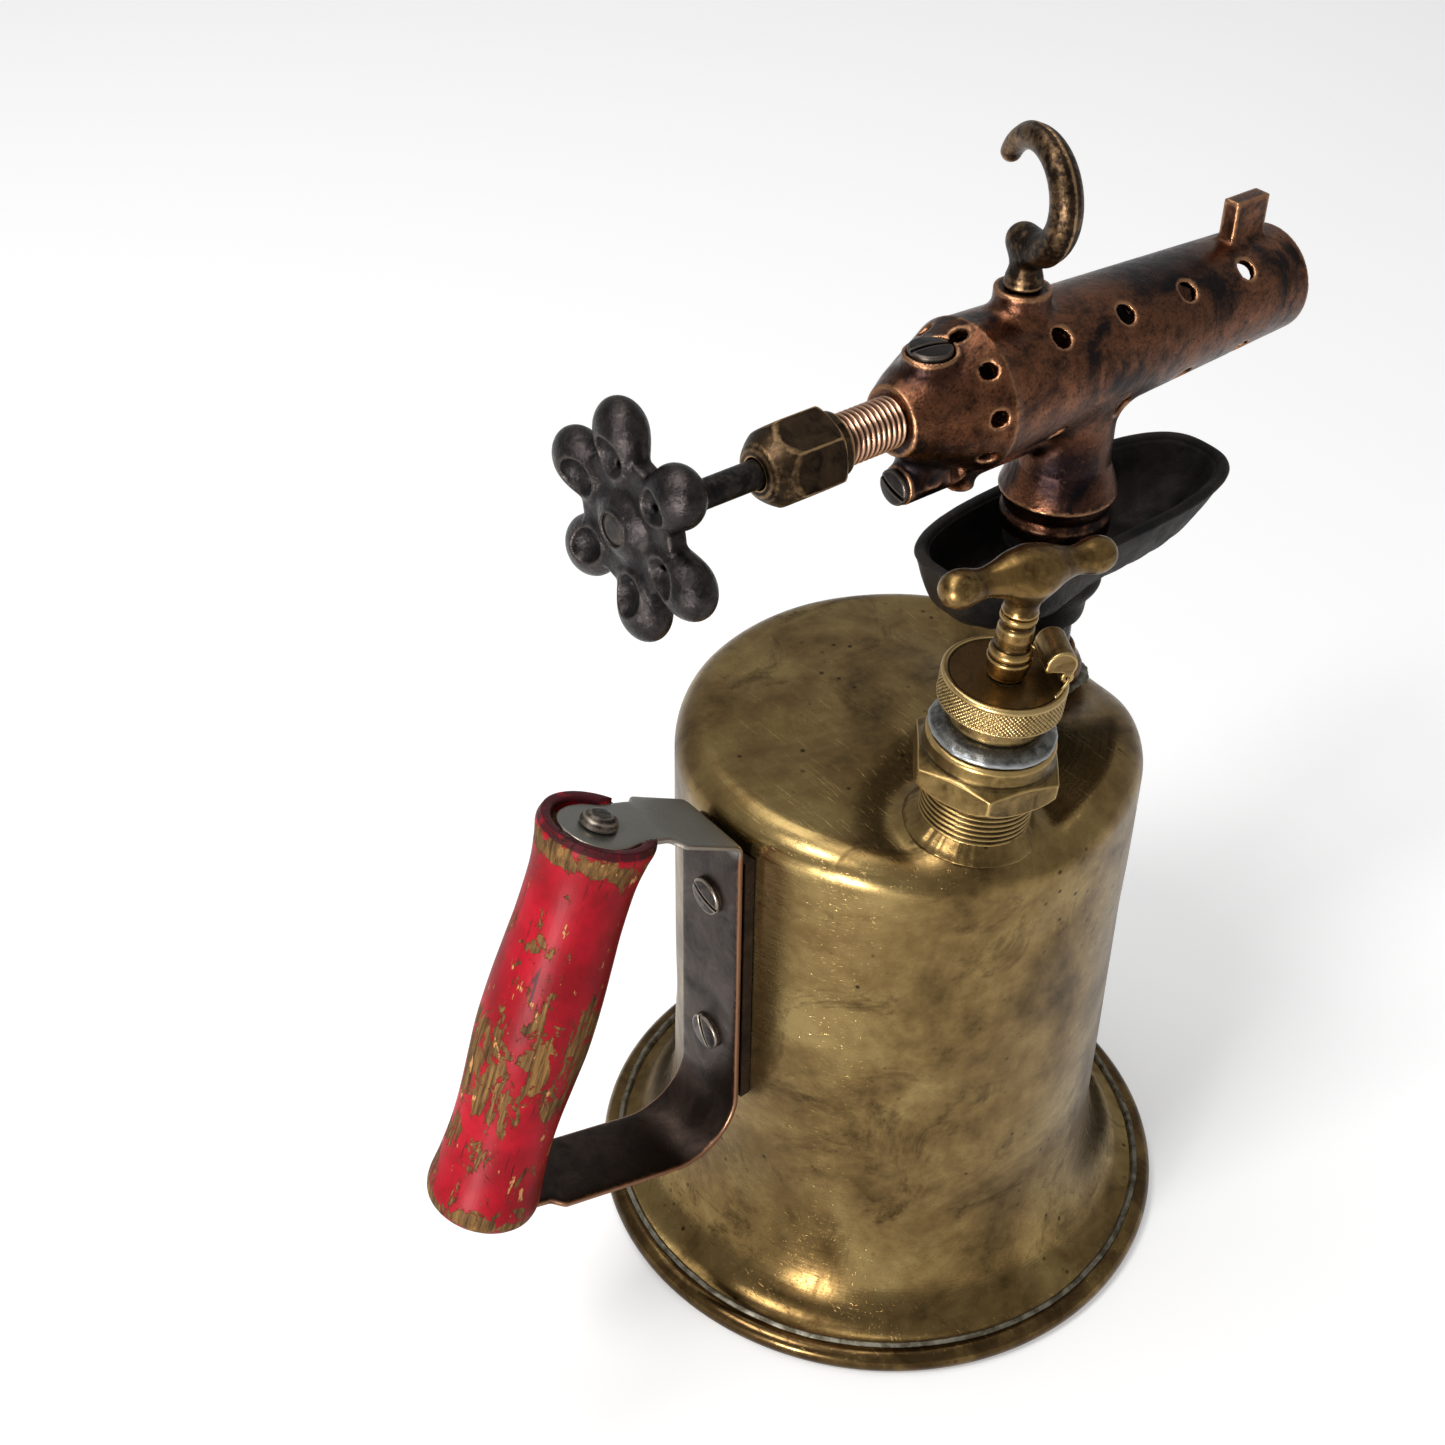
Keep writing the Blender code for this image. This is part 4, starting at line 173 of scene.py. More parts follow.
def tarnished_brass(name, light, middle, dark, cloud=34.0, foot_shade=0.0):
    """Sheet brass: tarnish clouds, thumb-wide mottling, specks, fine scratches and a soft ripple."""
    made, node, shader, place = new_finish(name, 1.0)
    centred = node("Mapping", place, (-TANK_X, 0, 0))
    clouds = node("TexNoise", centred, per_mm(cloud), 5, 0.62, Distortion=0.6)
    mottle = node("TexNoise", centred, per_mm(9), 6, 0.7)
    tone = node("Mix", 0.34, clouds, mottle, data_type="FLOAT")
    tint = node("ValToRGB", tone, stops=((0.36, dark), (0.63, light), (0.49, middle)))
    # dark specks, about 0.8 mm across, where a coarser noise lets them through
    specks = node("TexVoronoi", centred, Scale=per_mm(4.2))
    spot = node("ValToRGB", specks, stops=((0.08, 1.0), (0.17, 0.0)))
    allowed = node("ValToRGB", node("TexNoise", centred, per_mm(15), 3), stops=((0.49, 0.0), (0.60, 0.9)))
    speck = node("Math", spot, allowed, operation="MULTIPLY")
    # brown stains like long islands, 20 mm and up, with ragged edges
    stain = node("TexNoise", centred, per_mm(26), 9, 0.72, Distortion=1.4)
    stain = node("ValToRGB", stain, stops=((0.55, 0.0), (0.68, 0.85)))
    # a few purple-black streaks with ragged ends, some 25 mm long, where flux or acid ran
    streak_at = node("Mapping", centred, Rotation=(0, 0, -0.5), Scale=(1, 0.28, 0.5))
    streak = node("TexNoise", streak_at, per_mm(6.5), 10, 0.74, Distortion=0.5)
    streak = node("ValToRGB", streak, stops=((0.655, 0.0), (0.685, 0.9)))
    # painted shade: the foot is painted darker towards the floor
    height = node("SeparateXYZ", centred)
    low = node("MapRange", height.outputs[2], 40 * MM, 4 * MM, 0, foot_shade)
    for mask, over in ((speck, "#2e2416"), (stain, "#3d2d18"), (streak, "#33241f"), (low, "#443319")):
        tint = node("Mix", mask, tint, over, data_type="RGBA")
    # polishing marks run round the tank: the noise is fine up the wall and long round it
    radius = node("VectorMath", node("VectorMath", centred, (1, 1, 0), operation="MULTIPLY"), operation="LENGTH")
    turn = node("Math", height.outputs[1], height.outputs[0], operation="ARCTAN2")
    wrapped = node("CombineXYZ", radius, turn, height.outputs[2])
    marks_at = node("VectorMath", wrapped, (per_mm(0.5), 4.0, per_mm(0.5)), operation="MULTIPLY")
    marks = node("TexNoise", marks_at, 1.0, 4, 0.6)
    # scratches: two stretched noises crossed at odd angles, kept only at their peaks
    peaks = []
    for rotation in ((1.1, 0.4, 0.5), (0.3, 0.4, -0.8)):
        line = node("TexNoise", node("Mapping", centred, Rotation=rotation, Scale=(1, 0.035, 1)), per_mm(0.55))
        peaks.append(node("ValToRGB", line, stops=((0.66, 0.0), (0.72, 1.0))))
    scratches = node("Math", *peaks, operation="MAXIMUM")
    # bright places are glossier, stains and marks duller; the flare was spun over a form and is smoothest
    rough = node("MapRange", tone, 0.3, 0.7, 0.38, 0.21)
    rough = node("Math", marks, 0.16, rough, operation="MULTIPLY_ADD")
    rough = node("Math", stain, 0.14, rough, operation="MULTIPLY_ADD")
    smooth = node("MapRange", height.outputs[2], 30 * MM, 16 * MM, 0.08, 0.17)
    relief = node("Bump", Strength=0.35, Distance=0.06 * MM, Height=marks)
    relief = node("Bump", Strength=0.5, Distance=-0.05 * MM, Height=scratches, Normal=relief)
    ripple = node("TexNoise", centred, per_mm(6), 3)
    relief = node("Bump", Strength=0.5, Distance=0.16 * MM, Height=ripple, Normal=relief)
    feed(shader, Base_Color=tint, Roughness=node("Math", rough, smooth, operation="SUBTRACT"), Normal=relief)
    return made


tank_brass = tarnished_brass("tarnished_sheet_brass", "#a48c5a", "#806840", "#4d3c22", foot_shade=0.15)
bead_brass = tarnished_brass("rolled_edge_brass", "#80693f", "#59452a", "#372a18", cloud=12.0)
print("tank finishes:", tank_brass.name, bead_brass.name)

# %% [markdown]
# ## Machined brass of the pump
# The nut, cap, handle and catch of the pump are turned from bar brass. Handling keeps their edges
# bright, and dirt stays in every groove and corner. Each new piece below carries an attribute, `edge`,
# that says how far its skin bulges out or folds in at a point. It is measured from the shape itself,
# so the wear is the same from every side. One function mixes the two tones in for all the metals.

# %% Wear on edges, dirt in corners


def weathered(node, base, bright, grime, worn=0.8, dirty=0.85):
    """Mixes a bright tone in where `edge` is over 0, and a dark one where it is under 0, broken by noise."""
    edge = node("Attribute", attribute_name="edge").outputs["Fac"]
    broken = node("TexNoise", node("TexCoord").outputs["Object"], per_mm(1.6), 5, 0.65)
    level = node("Math", node("Math", broken, 0.5, operation="SUBTRACT"), 0.7, edge, operation="MULTIPLY_ADD")
    rubbed = node("Mix", node("MapRange", level, 0.12, 0.5, 0, worn), base, bright, data_type="RGBA")
    return node("Mix", node("MapRange", level, -0.14, -0.5, 0, dirty), rubbed, grime, data_type="RGBA")


# %% Turned bar brass


def bar_brass(name, light, dark, grain=5.0, grime=0.5, roughness=0.3, bump=0.4, bright=None):
    """Bar brass: rubbed areas in a light tone, grime in a dark one, and small dents of 0.8 mm."""
    made, node, shader, place = new_finish(name, 1.0)
    patch = node("TexNoise", place, per_mm(grain), 7, 0.68, Distortion=0.8)
    tint = node("ValToRGB", patch, stops=((0.34 + 0.16 * (grime - 0.5), dark), (0.62, light)))
    fine = node("TexNoise", place, per_mm(0.8), 4, 0.7)
    flecks = node("ValToRGB", fine, stops=((0.58, 0.0), (0.72, 0.5)))
    aged = node("Mix", flecks, tint, dark, data_type="RGBA")
    feed(shader, Base_Color=weathered(node, aged, bright or light, "#2b2013"),
         Roughness=node("MapRange", patch, 0.3, 0.7, roughness + 0.16, roughness - 0.05),
         Normal=node("Bump", Strength=bump, Distance=0.09 * MM, Height=fine))
    return made


pump_brass = bar_brass("turned_bar_brass", "#9a8054", "#5c482b", roughness=0.28, bright="#c8ac74")
tee_brass = bar_brass("handled_bar_brass", "#7d6239", "#3c2c19", 6.0, roughness=0.26, bump=0.3, bright="#b0905a")
nut_brass = bar_brass("olive_bar_brass", "#8c7448", "#4b3a20", 6.0, roughness=0.28, bright="#c4a46a")
gland_nut_brass = bar_brass("smoked_nut_brass", "#4a3a2a", "#1f1711", grime=0.7, roughness=0.34, bump=0.6,
                            bright="#b8966a")
bush_brass = bar_brass("soldered_bush_brass", "#7c5a3a", "#33241a", 6.0, roughness=0.36)
wire_brass = bar_brass("bright_drawn_wire", "#e0c588", "#b08c50", 3.0, roughness=0.22, bump=0.1)
print("pump finishes:", pump_brass.name, tee_brass.name, nut_brass.name)

# %% [markdown]
# ## Bronze that has been through fire
# The burner is a sand casting in bronze. Copper shows pink-brown where the flame cleaned it, and
# blue-black fire scale sits on top and round the column. The skin of a sand casting keeps the grain
# of the mould, half a millimetre or so, which breaks the highlight into sparks. So the bump is strong
# and fine, and the gloss is kept, or the sparks would go.

# %% Sand-cast bronze


def cast_bronze(name, bright, body, scale_tint, scaled, grain=0.62, edge_tint="#c08e68"):
    """Casting: copper tones, blotches of fire scale and the grain of the sand mould."""
    made, node, shader, place = new_finish(name, 1.0)
    blotch = node("TexNoise", place, per_mm(17), 8, 0.62, Distortion=0.9)
    tone = node("TexNoise", place, per_mm(5), 6, 0.7)
    tint = node("ValToRGB", tone, stops=((0.36, body), (0.68, bright)))
    scale_mask = node("ValToRGB", blotch, stops=((scaled - 0.08, 0.0), (scaled + 0.05, 0.95)))
    # soot gathers round whatever stands on the casting, where the attribute `soot` is set
    soot = node("Attribute", attribute_name="soot").outputs["Fac"]
    soot_mask = node("MapRange", node("Math", tone, 1.6, soot, operation="MULTIPLY_ADD"), 1.0, 1.5, 0, 0.9)
    sand = node("TexNoise", place, per_mm(grain), 5, 0.75)
    pits = node("ValToRGB", sand, stops=((0.36, 0.8), (0.48, 0.0)))
    for mask, over in ((scale_mask, scale_tint), (soot_mask, "#17151a"), (pits, "#1c110b")):
        tint = node("Mix", mask, tint, over, data_type="RGBA")
    relief = node("Bump", Strength=0.6, Distance=0.16 * MM, Height=sand)
    lumps = node("TexNoise", place, per_mm(3.2))
    relief = node("Bump", Strength=0.5, Distance=0.5 * MM, Height=lumps, Normal=relief)
    feed(shader, Base_Color=weathered(node, tint, edge_tint, "#140e0b", worn=0.7, dirty=0.8), Normal=relief,
         Roughness=node("MapRange", blotch, scaled - 0.12, scaled + 0.1, 0.2, 0.38))
    return made


burner_bronze = cast_bronze("fired_cast_bronze", "#925f42", "#493024", "#1b1819", 0.55)
hook_bronze = cast_bronze("rubbed_cast_bronze", "#846648", "#35281e", "#221b16", 0.45, 0.8, "#b8936a")
thread_copper = bar_brass("fired_thread_bronze", "#b98c70", "#5c3a2a", 7.0, roughness=0.24, bump=0.2,
                          bright="#e0b498")
print("burner finishes:", burner_bronze.name, hook_bronze.name)

# %% [markdown]
# ## Black iron, dark steel and the small finishes
# The priming cup is cast iron that was sooted on every start, so it is dull and coarse. The hand wheel
# is the same metal, but a hundred years of fingers have made it smooth and glossy. The strap and its
# screws are steel under an oil-brown skin. Lead, leather and packing are soft, and need only a tone
# and a texture of the right size.

# %% Iron, steel, lead and packing


def grainy(name, light, dark, metallic, rough, patch, grit, relief_mm, spread=(0.4, 0.6), wear=0.0, worn=None):
    """A finish of two tones with grit: patches choose the tone and the gloss, grit gives the relief."""
    made, node, shader, place = new_finish(name, metallic)
    patches = node("TexNoise", place, per_mm(patch), 7, 0.66, Distortion=0.5)
    tint = node("ValToRGB", patches, stops=((spread[0], dark), (spread[1], light)))
    if wear:
        tint = weathered(node, tint, worn, dark, wear, 0.9)
    gritty = node("TexNoise", place, per_mm(grit), 5, 0.7)
    feed(shader, Base_Color=tint, Roughness=node("MapRange", patches, *spread, *rough),
         Normal=node("Bump", Strength=0.7, Distance=relief_mm * MM, Height=gritty))
    return made


sooted_iron = grainy("sooted_cast_iron", "#2f2925", "#151312", 0.7, (0.62, 0.5), 14, 1.0, 0.4)
handled_iron = grainy("handled_cast_iron", "#373130", "#151213", 0.85, (0.34, 0.2), 3.5, 1.3, 0.35,
                      spread=(0.38, 0.64), wear=0.35, worn="#5f5650")
strap_steel = grainy("oil_browned_steel", "#43362f", "#241b16", 0.9, (0.44, 0.26), 9, 0.7, 0.08,
                     spread=(0.36, 0.62), wear=0.8, worn="#9a6f52")
screw_steel = grainy("worn_screw_steel", "#4f4842", "#221d1a", 0.9, (0.4, 0.26), 3, 0.5, 0.06,
                     wear=0.7, worn="#a79a8c")
spindle_steel = grainy("black_spindle_steel", "#2b2623", "#121010", 0.8, (0.42, 0.3), 5, 0.7, 0.08,
                       wear=0.4, worn="#7d6f64")
gasket_lead = grainy("beaten_lead", "#86857f", "#373531", 0.9, (0.4, 0.24), 3.6, 0.7, 0.12,
                     spread=(0.36, 0.66), wear=0.5, worn="#c9cdd0")
solder = grainy("old_solder", "#7f7a6c", "#4a4436", 0.8, (0.5, 0.36), 3, 0.7, 0.1)
plunger_hide = grainy("oiled_leather", "#4a3020", "#2b1a10", 0.0, (0.7, 0.55), 5, 0.5, 0.1)
fibre_packing = grainy("graphited_packing", "#2b2a2a", "#121212", 0.0, (0.8, 0.6), 2, 0.6, 0.2)
ball_steel = grainy("bright_ground_steel", "#b8b8b4", "#8d8c88", 1.0, (0.32, 0.22), 4, 0.4, 0.02)
print("dark finishes:", sooted_iron.name, handled_iron.name, strap_steel.name)

# %% The strap's upper arm is painted a lighter satin grey, a painted sheen: everything over a height of 136 mm
node = partial(add, strap_steel.node_tree)
shader = strap_steel.node_tree.nodes["Principled BSDF"]
browned = shader.inputs["Base Color"].links[0].from_socket
height = node("SeparateXYZ", node("TexCoord").outputs["Object"])
# painted sheen: the arm that faces up is mixed to a lighter grey by its height
upper = node("MapRange", height.outputs[2], 134 * MM, 136.5 * MM, 0, 0.7)
feed(shader, Base_Color=node("Mix", upper, browned, "#96968e", data_type="RGBA"))
print("nodes in the strap's steel:", len(strap_steel.node_tree.nodes))

# %% [markdown]
# ## Old red paint on a turned handle
# The handle is a close-grained hardwood that was dipped in red enamel. The enamel has flaked wherever
# the hand or a bench struck it. A flake is not a soft stain: its edge is sharp, it shows olive-brown
# wood with grain that runs up the handle, and the paint stands a tenth of a millimetre above it. So one
# mask is made sharp, and it drives the colour, the gloss and the relief together. The pattern reads
# `own`, an attribute that holds each point's place on the handle's own axes.

# %% Chipped enamel over wood
grip_enamel, node, shader, _ = new_finish("chipped_red_enamel", 0.0)
own = node("Attribute", attribute_name="own").outputs["Vector"]
grain = node("TexNoise", node("Mapping", own, Scale=(1, 1, 0.07)), per_mm(0.9), 6, 0.65, Distortion=0.3)
wood = node("ValToRGB", grain, stops=((0.34, "#33220f"), (0.68, "#8a6638"), (0.52, "#644726")))
islands = node("TexNoise", node("Mapping", own, Scale=(1, 1, 0.55)), per_mm(5), 9, 0.72, Distortion=0.6)
nicks_at = node("Mapping", own, Rotation=(0.3, 0.2, 0), Scale=(1, 1, 0.4))
nicks = node("ValToRGB", node("TexNoise", nicks_at, per_mm(2.4), 6, 0.62), stops=((0.650, 0.0), (0.662, 1.0)))
# chips gather where the palm rubs: a noise of 26 mm lifts the fine one there, and so do the ends
palm = node("MapRange", node("TexNoise", own, per_mm(26), 1), 0.42, 0.62, 0, 0.10)
ends = node("Attribute", attribute_name="end_wear").outputs["Fac"]
worn = node("Math", ends, 0.22, node("Math", palm, islands), operation="MULTIPLY_ADD")
bare = node("ValToRGB", worn, stops=((0.600, 0.0), (0.612, 1.0)))
chipped = node("Math", bare, nicks, operation="MAXIMUM")
fresh = node("Mix", nicks, wood, "#b98450", data_type="RGBA")

# %% Red over the wood, with its grime, scratches and scorched ends
shade = node("TexNoise", own, per_mm(14), 5, 0.6)
red = node("ValToRGB", shade, stops=((0.36, "#740711"), (0.66, "#a30d20"), (0.5, "#8b0918")))
# grime in the paint: fine dark lines along the grain, 0.6 mm apart
grime = node("ValToRGB", grain, stops=((0.30, 0.55), (0.42, 0.0)))
# dark scratches, hair-thin and at a slant: a noise drawn out twentyfold, kept at its peaks
slant_at = node("Mapping", own, Rotation=(0.9, 0.5, 0.2), Scale=(1, 1, 0.05))
scratched = node("ValToRGB", node("TexNoise", slant_at, per_mm(1.1), 3), stops=((0.665, 0.0), (0.69, 0.85)))
black = node("Attribute", attribute_name="scorch").outputs["Fac"]
char = node("Math", black, node("TexNoise", own, per_mm(3), 5), operation="MULTIPLY")
char = node("ValToRGB", char, stops=((0.26, 0.0), (0.42, 0.92)))
for mask, over in ((grime, "#5e0f18"), (scratched, "#2c0d10"), (chipped, fresh), (char, "#37151a")):
    red = node("Mix", mask, red, over, data_type="RGBA")
relief = node("Bump", Strength=1.0, Distance=-0.12 * MM, Height=chipped)
relief = node("Bump", Strength=0.5, Distance=0.1 * MM, Height=grain, Normal=relief)
feed(shader, Base_Color=red, Roughness=node("MapRange", chipped, To_Min=0.42, To_Max=0.66), Normal=relief,
     Specular_IOR_Level=0.12)
print("handle finish:", grip_enamel.name)

# %% [markdown]
# ## From numbers to a mesh
# Every new piece below ends as an array of points and one or two arrays of faces. `piece` turns them
# into an object, and does what each one needs: it makes the faces point outwards, stores each point's
# own place as an attribute, gives the finish, and ties the piece to the moving body that carries it.
# Outwards is found from the volume, which comes out negative when a closed skin is inside out.

# %% Which way a skin faces, and where it bulges


def signed_volume(points, faces):
    """Volume inside a closed skin: each face gives a wedge a . (b x c) / 6 to the origin."""
    total = 0.0
    for table in faces:
        for k in range(1, table.shape[1] - 1):
            a, b, c = (points[table[:, i]] for i in (0, k, k + 1))
            total += np.einsum("ij,ij->", a, np.cross(b, c)) / 6
    return total


def edge_wear(points, faces, reach=0.9):
    """How far the skin bulges, -1 to 1: the mean of 2 (p - q) . n / |p - q|^2 over the neighbours q of p."""
    pairs = np.vstack([np.stack([table[:, i - 1], table[:, i]], -1)
                       for table in faces for i in range(table.shape[1])])
    pairs = np.vstack([pairs, pairs[:, ::-1]])
    normal = np.zeros_like(points)
    for table in faces:
        a, b, c = (points[table[:, i]] for i in (0, 1, -1))
        square = np.cross(b - a, c - a)
        for column in table.T:
            np.add.at(normal, column, square)
    normal /= np.maximum(np.linalg.norm(normal, axis=1, keepdims=True), 1e-12)
    run = points[pairs[:, 0]] - points[pairs[:, 1]]
    bend = 2 * np.einsum("ij,ij->i", run, normal[pairs[:, 0]]) / np.maximum(np.einsum("ij,ij->i", run, run), 1e-4)
    count = np.maximum(np.bincount(pairs[:, 0], minlength=len(points)), 1)
    wear = np.clip(np.bincount(pairs[:, 0], bend, len(points)) / count * reach, -1.5, 1.5)
    for _ in range(2):
        wear = 0.5 * wear + 0.5 * np.bincount(pairs[:, 0], wear[pairs[:, 1]], len(points)) / count
    return np.clip(wear, -1, 1)


def piece(name, shape, where, finish, body, stands_for=None, takes=None, **marks):
    """Makes one finished object from points in mm on its own axes and tables of face corners."""
    points, faces = shape
    world = to_world(points, where)
    if signed_volume(world - world.mean(axis=0), faces) < 0:
        faces = [table[:, ::-1] for table in faces]
    mesh = bpy.data.meshes.new(name)
    sizes = np.concatenate([np.full(len(table), table.shape[1]) for table in faces])
    mesh.vertices.add(len(world))
    mesh.vertices.foreach_set("co", world.astype(np.float32).ravel())
    mesh.loops.add(int(sizes.sum()))
    mesh.loops.foreach_set("vertex_index", np.concatenate([table.ravel() for table in faces]).astype(np.int32))
    mesh.polygons.add(len(sizes))
    mesh.polygons.foreach_set("loop_start", (np.cumsum(sizes) - sizes).astype(np.int32))
    mesh.update(calc_edges=True)
    mesh.validate()
    own = mesh.attributes.new("own", "FLOAT_VECTOR", "POINT")
    own.data.foreach_set("vector", (points * MM).astype(np.float32).ravel())
    for label, values in {"edge": edge_wear(points, faces), **marks}.items():
        mark = mesh.attributes.new(label, "FLOAT", "POINT")
        mark.data.foreach_set("value", values.astype(np.float32))
    mesh.shade_smooth()
    made = bpy.data.objects.new(name, mesh)
    bpy.context.collection.objects.link(made)
    mesh.materials.append(finish)
    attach(made, body)
    if stands_for:
        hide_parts(stands_for)
    print(f"{name}: {len(world)} points, {len(sizes)} faces")


# %% [markdown]
# ## Lathe work
# Most of the torch was turned, so one function does most of the work: it carries a profile of
# (radius, height) points round an axis. Sharp corners do not exist on old metal, so `eased` first
# rounds each corner of the profile. Threads, knurling, flats and dents are all small changes of the
# radius with angle and height, given to the lathe as a function.

# %% Profiles


def eased(outline, ease, closed=True, steps=4):
    """Each corner B becomes the curve (1-t)^2 S + 2t(1-t) B + t^2 E, S and E lying `ease` before and after."""
    corner = np.array(outline, float)
    reach = np.broadcast_to(np.asarray(ease, float), (len(corner),))[:, None]

    def toward(step):
        run = np.roll(corner, step, axis=0) - corner
        length = np.maximum(np.linalg.norm(run, axis=1, keepdims=True), 1e-9)
        return (corner + run * np.minimum(reach / length, 0.48))[:, None]

    t = np.linspace(0, 1, steps + 1)[None, :, None]
    curve = (1 - t) ** 2 * toward(1) + 2 * t * (1 - t) * corner[:, None] + t ** 2 * toward(-1)
    if closed:
        return curve.reshape(-1, 2)
    return np.vstack([corner[:1], curve[1:-1].reshape(-1, 2), corner[-1:]])


def spaced(outline, step, closed=False):
    """Points put along an outline so that no two are further apart than the step."""
    points = np.vstack([outline, outline[:1]]) if closed else np.asarray(outline, float)
    runs = np.linalg.norm(np.diff(points, axis=0), axis=1)
    counts = np.maximum(np.ceil(runs / step).astype(int), 1)
    shares = np.concatenate([np.arange(n) / n for n in counts])
    starts = np.repeat(np.arange(len(runs)), counts)
    filled = points[starts] + (points[starts + 1] - points[starts]) * shares[:, None]
    return filled if closed else np.vstack([filled, points[-1:]])


def arc(radius, height, size, start, end, steps=12):
    """Points of a round stretch of a profile: (radius + size cos a, height + size sin a)."""
    a = np.radians(np.linspace(start, end, steps + 1))
    return np.stack([radius + size * np.cos(a), height + size * np.sin(a)], -1)


# %% Rings become a skin, and a profile becomes rings


def skin(rings, closed=False, ends=None):
    """Squares between neighbouring rings; the last ring joins the first, or a fan closes each end."""
    rows, columns = rings.shape[:2]
    row = np.arange(rows if closed else rows - 1)[:, None]
    column = np.arange(columns)
    ahead = (column + 1) % columns
    below, above = row * columns, (row + 1) % rows * columns
    squares = np.stack([below + column, below + ahead, above + ahead, above + column], -1).reshape(-1, 4)
    points = rings.reshape(-1, 3)
    if closed:
        return points, [squares]
    first, last = np.full(columns, len(points)), (rows - 1) * columns
    ends = rings[[0, -1]].mean(axis=1) if ends is None else ends
    return np.vstack([points, ends]), [squares, np.stack([ahead, column, first], -1),
                                       np.stack([last + column, last + ahead, first + 1], -1)]


def lathe(profile, sides=144, change=None):
    """Point (radius, height) at angle t goes to (radius cos t, radius sin t, height); axis points become poles."""
    profile = np.asarray(profile, float)
    poles = profile[0, 0] <= 1e-9 and profile[-1, 0] <= 1e-9
    rings = profile[1:-1] if poles else profile
    angle = np.tile(np.linspace(0, 2 * np.pi, sides, endpoint=False), (len(rings), 1))
    radius, height = (np.repeat(rings[:, i:i + 1], sides, axis=1) for i in (0, 1))
    if change:
        radius, height = change(radius, angle, height)
    points = np.stack([radius * np.cos(angle), radius * np.sin(angle), height], -1)
    return skin(points, not poles, [[0, 0, height[0].mean()], [0, 0, height[-1].mean()]])


# %% Changes of a turned surface: threads and flats


def threaded(beyond, pitch, depth):
    """Cuts a thread: the radius falls by depth (1 + cos 2pi(height / pitch + turn)) / 2 outside a bore."""
    def change(radius, angle, height):
        wave = 0.5 + 0.5 * np.cos(2 * np.pi * height / pitch + angle)
        return np.where(radius > beyond, radius - depth * wave ** 0.8, radius), height
    return change


def fuse(a, b, width):
    """The lesser of two lengths, rounded where they come within a width: a union with a fillet."""
    share = np.clip(0.5 + 0.5 * (b - a) / width, 0, 1)
    return b + (a - b) * share - width * share * (1 - share)


def flats(across, turn, wear=0.35):
    """Mills a hexagon: the radius is held under across / 2 / cos(angle to the nearest flat)."""
    def change(radius, angle, height):
        off = (angle - np.radians(turn) + np.pi / 6) % (np.pi / 3) - np.pi / 6
        held = fuse(radius, across / 2 / np.cos(off), wear)
        return np.where(radius > across * 0.42, held, radius), height
    return change


print("an inch of pump thread has", round(25.4 / 1.27), "turns")

# %% [markdown]
# ## The tank
# The shell was spun: a nearly flat top, a small round shoulder, a straight wall and a bell-shaped
# foot. The two holes in its top were soldered and pressed, which left the sheet sunk round the burner's
# riser and, less, round the pump. A dent is a smooth hollow that fades with the square of the distance, so
# one formula makes the sunk places and the knocks of use.

# %% Dents: place, depth, flat middle and spread on the top; turn, height, depth and size on the wall
TOP_DENTS = ((RISER_X, 0.0, 5.5, 9.0, 12.0), (*PUMP_XY, 2.6, 12.5, 10.0), (*PUMP_XY, -2.3, 12.2, 3.2),
             (12.0, -24.0, 0.5, 0.0, 7.0), (22.0, 17.0, 0.45, 0.0, 9.0), (-30.0, 10.0, 0.4, 0.0, 10.0))
WALL_DENTS = ((-62, 96, 0.35, 9), (-118, 70, 0.4, 12), (-20, 112, 0.3, 7), (-95, 118, 0.3, 6), (140, 60, 0.5, 10),
              (60, 90, 0.45, 11))


def dented(radius, angle, height):
    """Sinks the top by depth exp(-((distance - flat) / spread)^2) and dents the wall in the same way."""
    x, y = radius * np.cos(angle), radius * np.sin(angle)
    fade = np.clip((height - TANK_TOP + 22) / 22, 0, 1)
    fade = fade * fade * (3 - 2 * fade)
    sink = 0
    for at_x, at_y, depth, flat, spread in TOP_DENTS:
        away = np.maximum(np.hypot(x - at_x, y - at_y) - flat, 0) / spread
        sink = sink + depth * np.exp(-away * away)
    for turn, level, depth, size in WALL_DENTS:
        around = (angle - np.radians(turn) + np.pi) % (2 * np.pi) - np.pi
        radius = radius - depth * np.exp(-((around * TANK_R) ** 2 + (height - level) ** 2) / size ** 2)
    waver = 0.10 * np.sin(5 * angle + height / 23) + 0.07 * np.sin(9 * angle - height / 11 + 2)
    return radius + waver * np.clip((radius - 30) / 20, 0, 1), height - sink * fade


# %% Tank shell
SHOULDER = (43.3, TANK_TOP - 7.7, 7.7, 88, 2)
SHEET = 0.8
foot_turn = np.linspace(0, np.pi / 2, 49)
flare = np.stack([TANK_R + 13.95 * (1 - np.cos(foot_turn)), 38 - 32.55 * np.sin(foot_turn)], -1)
crown = np.linspace(0, 1, 40)
top = np.stack([SHOULDER[0] * crown, TANK_TOP + 1 - crown ** 2], -1)
wall = spaced([(TANK_R, 132.5), (TANK_R, 38.5)], 2.2)
outside = np.vstack([top, arc(*SHOULDER, 16), wall, flare])
inside = np.vstack([top[::3], arc(*SHOULDER, 4), [(TANK_R, 132)], flare[::4]])
inside[:, 1] -= np.where(inside[:, 1] > 132, SHEET, 0)
inside[:, 0] = np.maximum(inside[:, 0] - np.where(inside[:, 1] > 138, 0, SHEET), 0)
shell = lathe(np.vstack([outside, inside[::-1]]), 300, dented)
piece("spun_tank_shell", shell, TANK, tank_brass, "tank", "tank_shell")

